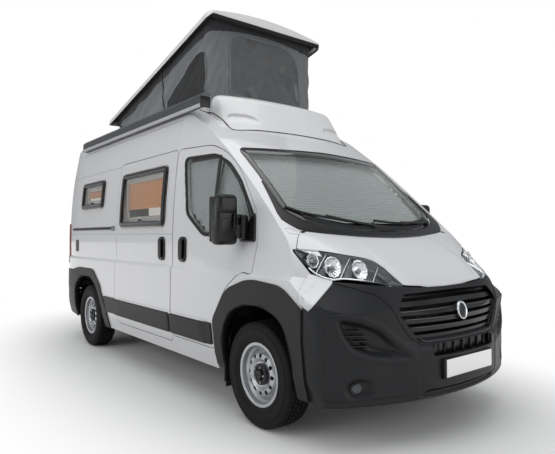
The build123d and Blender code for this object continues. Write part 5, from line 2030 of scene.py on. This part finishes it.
# padded pieces: crowned forms with sewn channels, sides pulled in between their corners
sewing = {"half": 0.035, "deep": 7, "piping": 2.5, "pipingHalf": 0.1, "pull": 0.022, "wave": 1.1}


def padForm(name, size, channels, material, cuts=26, crown=0.24, power=5.0):
    # size is the half width, half depth and half thickness in mm; channels run along the depth
    work = bmesh.new()
    bmesh.ops.create_cube(work, size=2.0)
    bmesh.ops.subdivide_edges(work, edges=work.edges, cuts=cuts, use_grid_fill=True)
    for v in work.verts:
        u, w, t = v.co
        reach = (abs(u) ** power + abs(w) ** power + abs(t) ** power) ** (1 / power)
        u, w, t = u / reach, w / reach, t / reach
        swell = 1 - crown * (1 - (1 - u * u) * (1 - w * w))
        sew = sum(math.exp(-(((u - c) / sewing["half"]) ** 2)) for c in channels) * (1 - w * w) ** 0.5
        side = math.exp(-((t / sewing["pipingHalf"]) ** 2)) * sewing["piping"]
        wave = noise.noise(Vector((u * 2.1, w * 2.1, 4 + t))) * sewing["wave"]
        pull = sewing["pull"]
        x = size[0] * u * (1 - pull * (1 - w * w)) - side * u
        y = size[1] * w * (1 - pull * (1 - u * u)) - side * w
        z = (size[2] * swell - sewing["deep"] * sew + wave) * t
        v.co = (x / 1000, y / 1000, z / 1000)
    piece = pieceFromWork(name, work, material)
    piece.data.shade_smooth()
    return piece


def setPad(piece, middle, lean):
    # lean turns the pad about the X axis, in degrees, before it goes to its middle
    piece.data.transform(Matrix.Translation(at(*middle)) @ Matrix.Rotation(math.radians(lean), 4, "X"))
    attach(piece, "body")
    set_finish(piece, "seat_fabric")
    return piece


seatPads = {
    # half sizes, middle (x from the seat's own middle, station, height), lean in degrees, channels
    "Cushion": ((244, 240, 60), (0, 1792, 922), -3.4, (-0.6, 0.6)),
    "Back": ((240, 300, 54), (0, 2102, 1262), 82.0, (-0.58, 0.58)),
    "HeadRest": ((118, 78, 42), (0, 2152, 1682), 87.0, ()),
}
for side, label in sides:
    x0 = side * 445
    pads = []
    for word, (size, middle, lean, channels) in seatPads.items():
        pad = padForm("seat" + word + label, size, channels, seatCloth)
        pads.append(setPad(pad, (x0 + middle[0], middle[1], middle[2]), lean))
    stand = roundedBox("stand", (x0 - 190, 1630, 576), (x0 + 190, 2050, 872), 22, cabPlastic)
    posts = [
        roundedBox("post", (x0 + dx - 6, 2136, 1540), (x0 + dx + 6, 2148, 1640), 3, zincSteel)
        for dx in (-55, 55)
    ]
    joinPieces("seatStand" + label, [stand] + posts, "body", "cab_plastic")
    if side < 0:
        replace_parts(pads[0], "front_seats")
for number, x0 in enumerate((-598, 0, 598)):
    pad = padForm(
        "bedCushion" + str(number + 1), (296, 655, 56), (), bedCloth, cuts=22, crown=0.16, power=7.0
    )
    setPad(pad, (x0, 4538, 1020), 0)
    if number == 0:
        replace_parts(pad, "mattress")
print("stage: padding made")

# awning: bright rail, end caps
awning = {"front": 1824, "rear": 4812, "low": 2392}
railBar = roundedBox(
    "awningRail", (-946, awning["front"] + 6, awning["low"] + 2),
    (-938, awning["rear"] - 6, awning["low"] + 34), 3, mirrorAluminium
)
railBar.data.materials[0] = cassetteWhite
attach(railBar, "body")
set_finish(railBar, "dark_plastic")
caps = []
for s in (awning["front"] - 10, awning["rear"]):
    caps.append(
        roundedBox(
            "cap", (-944, s, awning["low"] + 2), (-852, s + 10, awning["low"] + 98), 4.5, smoothPlastic
        )
    )
joinPieces("awningCaps", caps)
print("stage: roof dressed")

# rear doors: window rubbers, middle seal, handle, hinge covers; brake light, lamp bands, step tread
rearWindow = [(170, 1480, 50), (720, 1480, 50), (700, 1980, 60), (170, 1980, 50)]
rearTree = castTree("door_rear_right", "door_rear_left", "rear_glass_right", "rear_glass_left")
tailTree = castTree("tail_lamps")
roofTree = castTree("roof_panel", "side_wall_right", "side_wall_left", "cab_frame")


onRear = endPlace(rearTree, 1)
for side, label in sides:
    body = "door_rear_" + label.lower()
    corners = [(side * x, z, r) for x, z, r in (rearWindow if side > 0 else reversed(rearWindow))]
    outline = outlined(corners, 22)
    frameRing("rearWindowSeal" + label, outline, onRear, 22, 6, sealRubber, body)
    for number, z in enumerate((760, 1330, 2060)):
        cover = rounded(side * 742, side * 792, z - 40, z + 40, 12)
        plate(
            "rearHingeCover" + label + str(number + 1), cover, onRear, [(0, -1), (0, 8), (4, 12)],
            smoothPlastic, body
        )
    # grey crease strip: painted shade in the pressed line
    layStrip("rearCrease" + label, line([(side * 60, 1395), (side * 780, 1395)], 40), onRear,
             seamProfile, seamShadePaint, body, "body_paint")
layStrip(
    "rearMiddleSeal", line([(-7, 640), (-7, 2180)], 60), onRear, slopedBar(6, -3, 5, 2), sealRubber,
    "door_rear_right"
)
pod = plate(
    "pod", rounded(-150, -40, 1030, 1290, 40), onRear,
    [(0, -1), (0, 6), (5, 12), (16, 12), (28, 3), (40, 1)], smoothPlastic, "door_rear_right"
)
grip = plate(
    "grip", rounded(-110, -80, 1058, 1262, 13, 8), onRear, [(0, 2), (0, 18), (5, 24)], smoothPlastic,
    "door_rear_right"
)
joinPieces("handleRear", [pod, grip], "door_rear_right")

onTail = endPlace(tailTree, 1)
for side, label in sides:
    # the middle band glows faintly through the plate sheet's emission: painted glow
    for number, (z0, z1, finish, slotName) in enumerate(
        (
            (1350, 1440, lampAmber, "lamp_red"), (1200, 1290, plateWhiteWithPaintedGlow, "roof_plastic"),
            (1000, 1150, lampRed, "lamp_red")
        )
    ):
        band = rounded(side * 878, side * 930, z0, z1, 12, 8)
        plate(
            "tailBand" + label + str(number + 1), band, onTail, [(0, -2), (0, 2), (3, 5)], finish, "body",
            slotName
        )
onHeader = endPlace(roofTree, 1)
plate(
    "highBrakeLamp", rounded(-170, 170, 2262, 2290, 10), onHeader, [(0, -1), (0, 9), (5, 14)], lampRed,
    "body", "lamp_red"
)
tread = {"count": 9, "start": 96, "pitch": 8, "width": 4, "half": 560, "low": 598, "high": 603}
treads = []
for number in range(tread["count"]):
    s = vanLength * 1000 - tread["start"] + number * tread["pitch"]
    corners = (-tread["half"], s, tread["low"]), (tread["half"], s + tread["width"], tread["high"])
    treads.append(roundedBox("tread", *corners, 1.2, sealRubber))
joinPieces("stepTread", treads)
print("stage: rear dressed")

# floor, light and background
studio = {
    "floor": "F4F4F3", "key": 215, "fill": 175, "rim": 120, "world": 0.42,
    "bounce": "8A8A8A", "fadeFrom": 1.15, "fadeTo": 2.6, "nearShare": 0.0,
}


def makeFloor():
    # pale near the van, where it takes the shadow, and plain white to the camera further out
    made, tree, shader = startMaterial("paintedStudioFloor", studio["floor"], {"Roughness": 0.9})
    path = addNode(tree, "ShaderNodeLightPath")
    tone = addNode(
        tree, "ShaderNodeMix", {"data_type": "RGBA"},
        {
            "Factor": path.outputs["Is Diffuse Ray"], "A": colour(studio["floor"]),
            "B": colour(studio["bounce"])
        }
    )
    tree.links.new(tone.outputs["Result"], shader.inputs["Base Color"])
    seen = mathNode(tree, "MAXIMUM", path.outputs["Is Camera Ray"], path.outputs["Is Glossy Ray"])
    seen = mathNode(tree, "MAXIMUM", seen, path.outputs["Is Transmission Ray"])
    place = addNode(tree, "ShaderNodeTexCoord").outputs["Object"]
    oval = addNode(tree, "ShaderNodeVectorMath", {"operation": "MULTIPLY"}, {0: place, 1: (1.0, 0.48, 0)})
    far = addNode(tree, "ShaderNodeVectorMath", {"operation": "LENGTH"}, {0: oval.outputs[0]})
    fade = addNode(
        tree, "ShaderNodeMapRange", {"interpolation_type": "SMOOTHSTEP"},
        {
            "Value": far.outputs["Value"], "From Min": studio["fadeFrom"], "From Max": studio["fadeTo"],
            "To Min": studio["nearShare"]
        }
    )
    share = mathNode(tree, "MULTIPLY", fade.outputs["Result"], seen)
    glow = addNode(tree, "ShaderNodeEmission", None, {"Color": (1, 1, 1, 1), "Strength": 1.0})
    mixed = addNode(tree, "ShaderNodeMixShader", None, {0: share, 1: shader.outputs[0], 2: glow.outputs[0]})
    tree.links.new(mixed.outputs[0], tree.nodes["Material Output"].inputs["Surface"])
    floor = makePiece(
        "floorSheet", [(-200, -200, 0), (200, -200, 0), (200, 200, 0), (-200, 200, 0)], [(0, 1, 2, 3)], made
    )


def makeWorld():
    world = bpy.data.worlds.new("studioWorld")
    bpy.context.scene.world = world
    world.use_nodes = True
    tree = world.node_tree
    tree.nodes.clear()
    path = addNode(tree, "ShaderNodeLightPath")
    seen = mathNode(tree, "MAXIMUM", path.outputs["Is Camera Ray"], path.outputs["Is Transmission Ray"])
    soft = addNode(
        tree, "ShaderNodeBackground", None, {"Color": (0.9, 0.92, 0.95, 1), "Strength": studio["world"]}
    )
    white = addNode(tree, "ShaderNodeBackground", None, {"Color": (1, 1, 1, 1), "Strength": 1.0})
    mixed = addNode(tree, "ShaderNodeMixShader", None, {0: seen, 1: soft.outputs[0], 2: white.outputs[0]})
    addNode(tree, "ShaderNodeOutputWorld", None, {"Surface": mixed.outputs[0]})


def addLamp(name, where, target, size, power):
    data = bpy.data.lights.new(name, "AREA")
    data.shape = "RECTANGLE"
    data.size, data.size_y = size
    data.energy = power
    lamp = addObject(name, data)
    lamp.location = where
    lamp.rotation_euler = (Vector(target) - Vector(where)).to_track_quat("-Z", "Y").to_euler()


makeFloor()
makeWorld()
addLamp("overheadSoftbox", (-1.0, -1.5, 7.5), (0, 0, 1.0), (7, 9), studio["key"])
addLamp("sideSoftbox", (-8.0, 0.5, 3.5), (0, 0, 1.3), (8, 4), studio["fill"])
addLamp("frontSoftbox", (2.5, -9.0, 3.0), (0, -1, 1.2), (7, 4), studio["rim"])
print("stage: floor and light set")
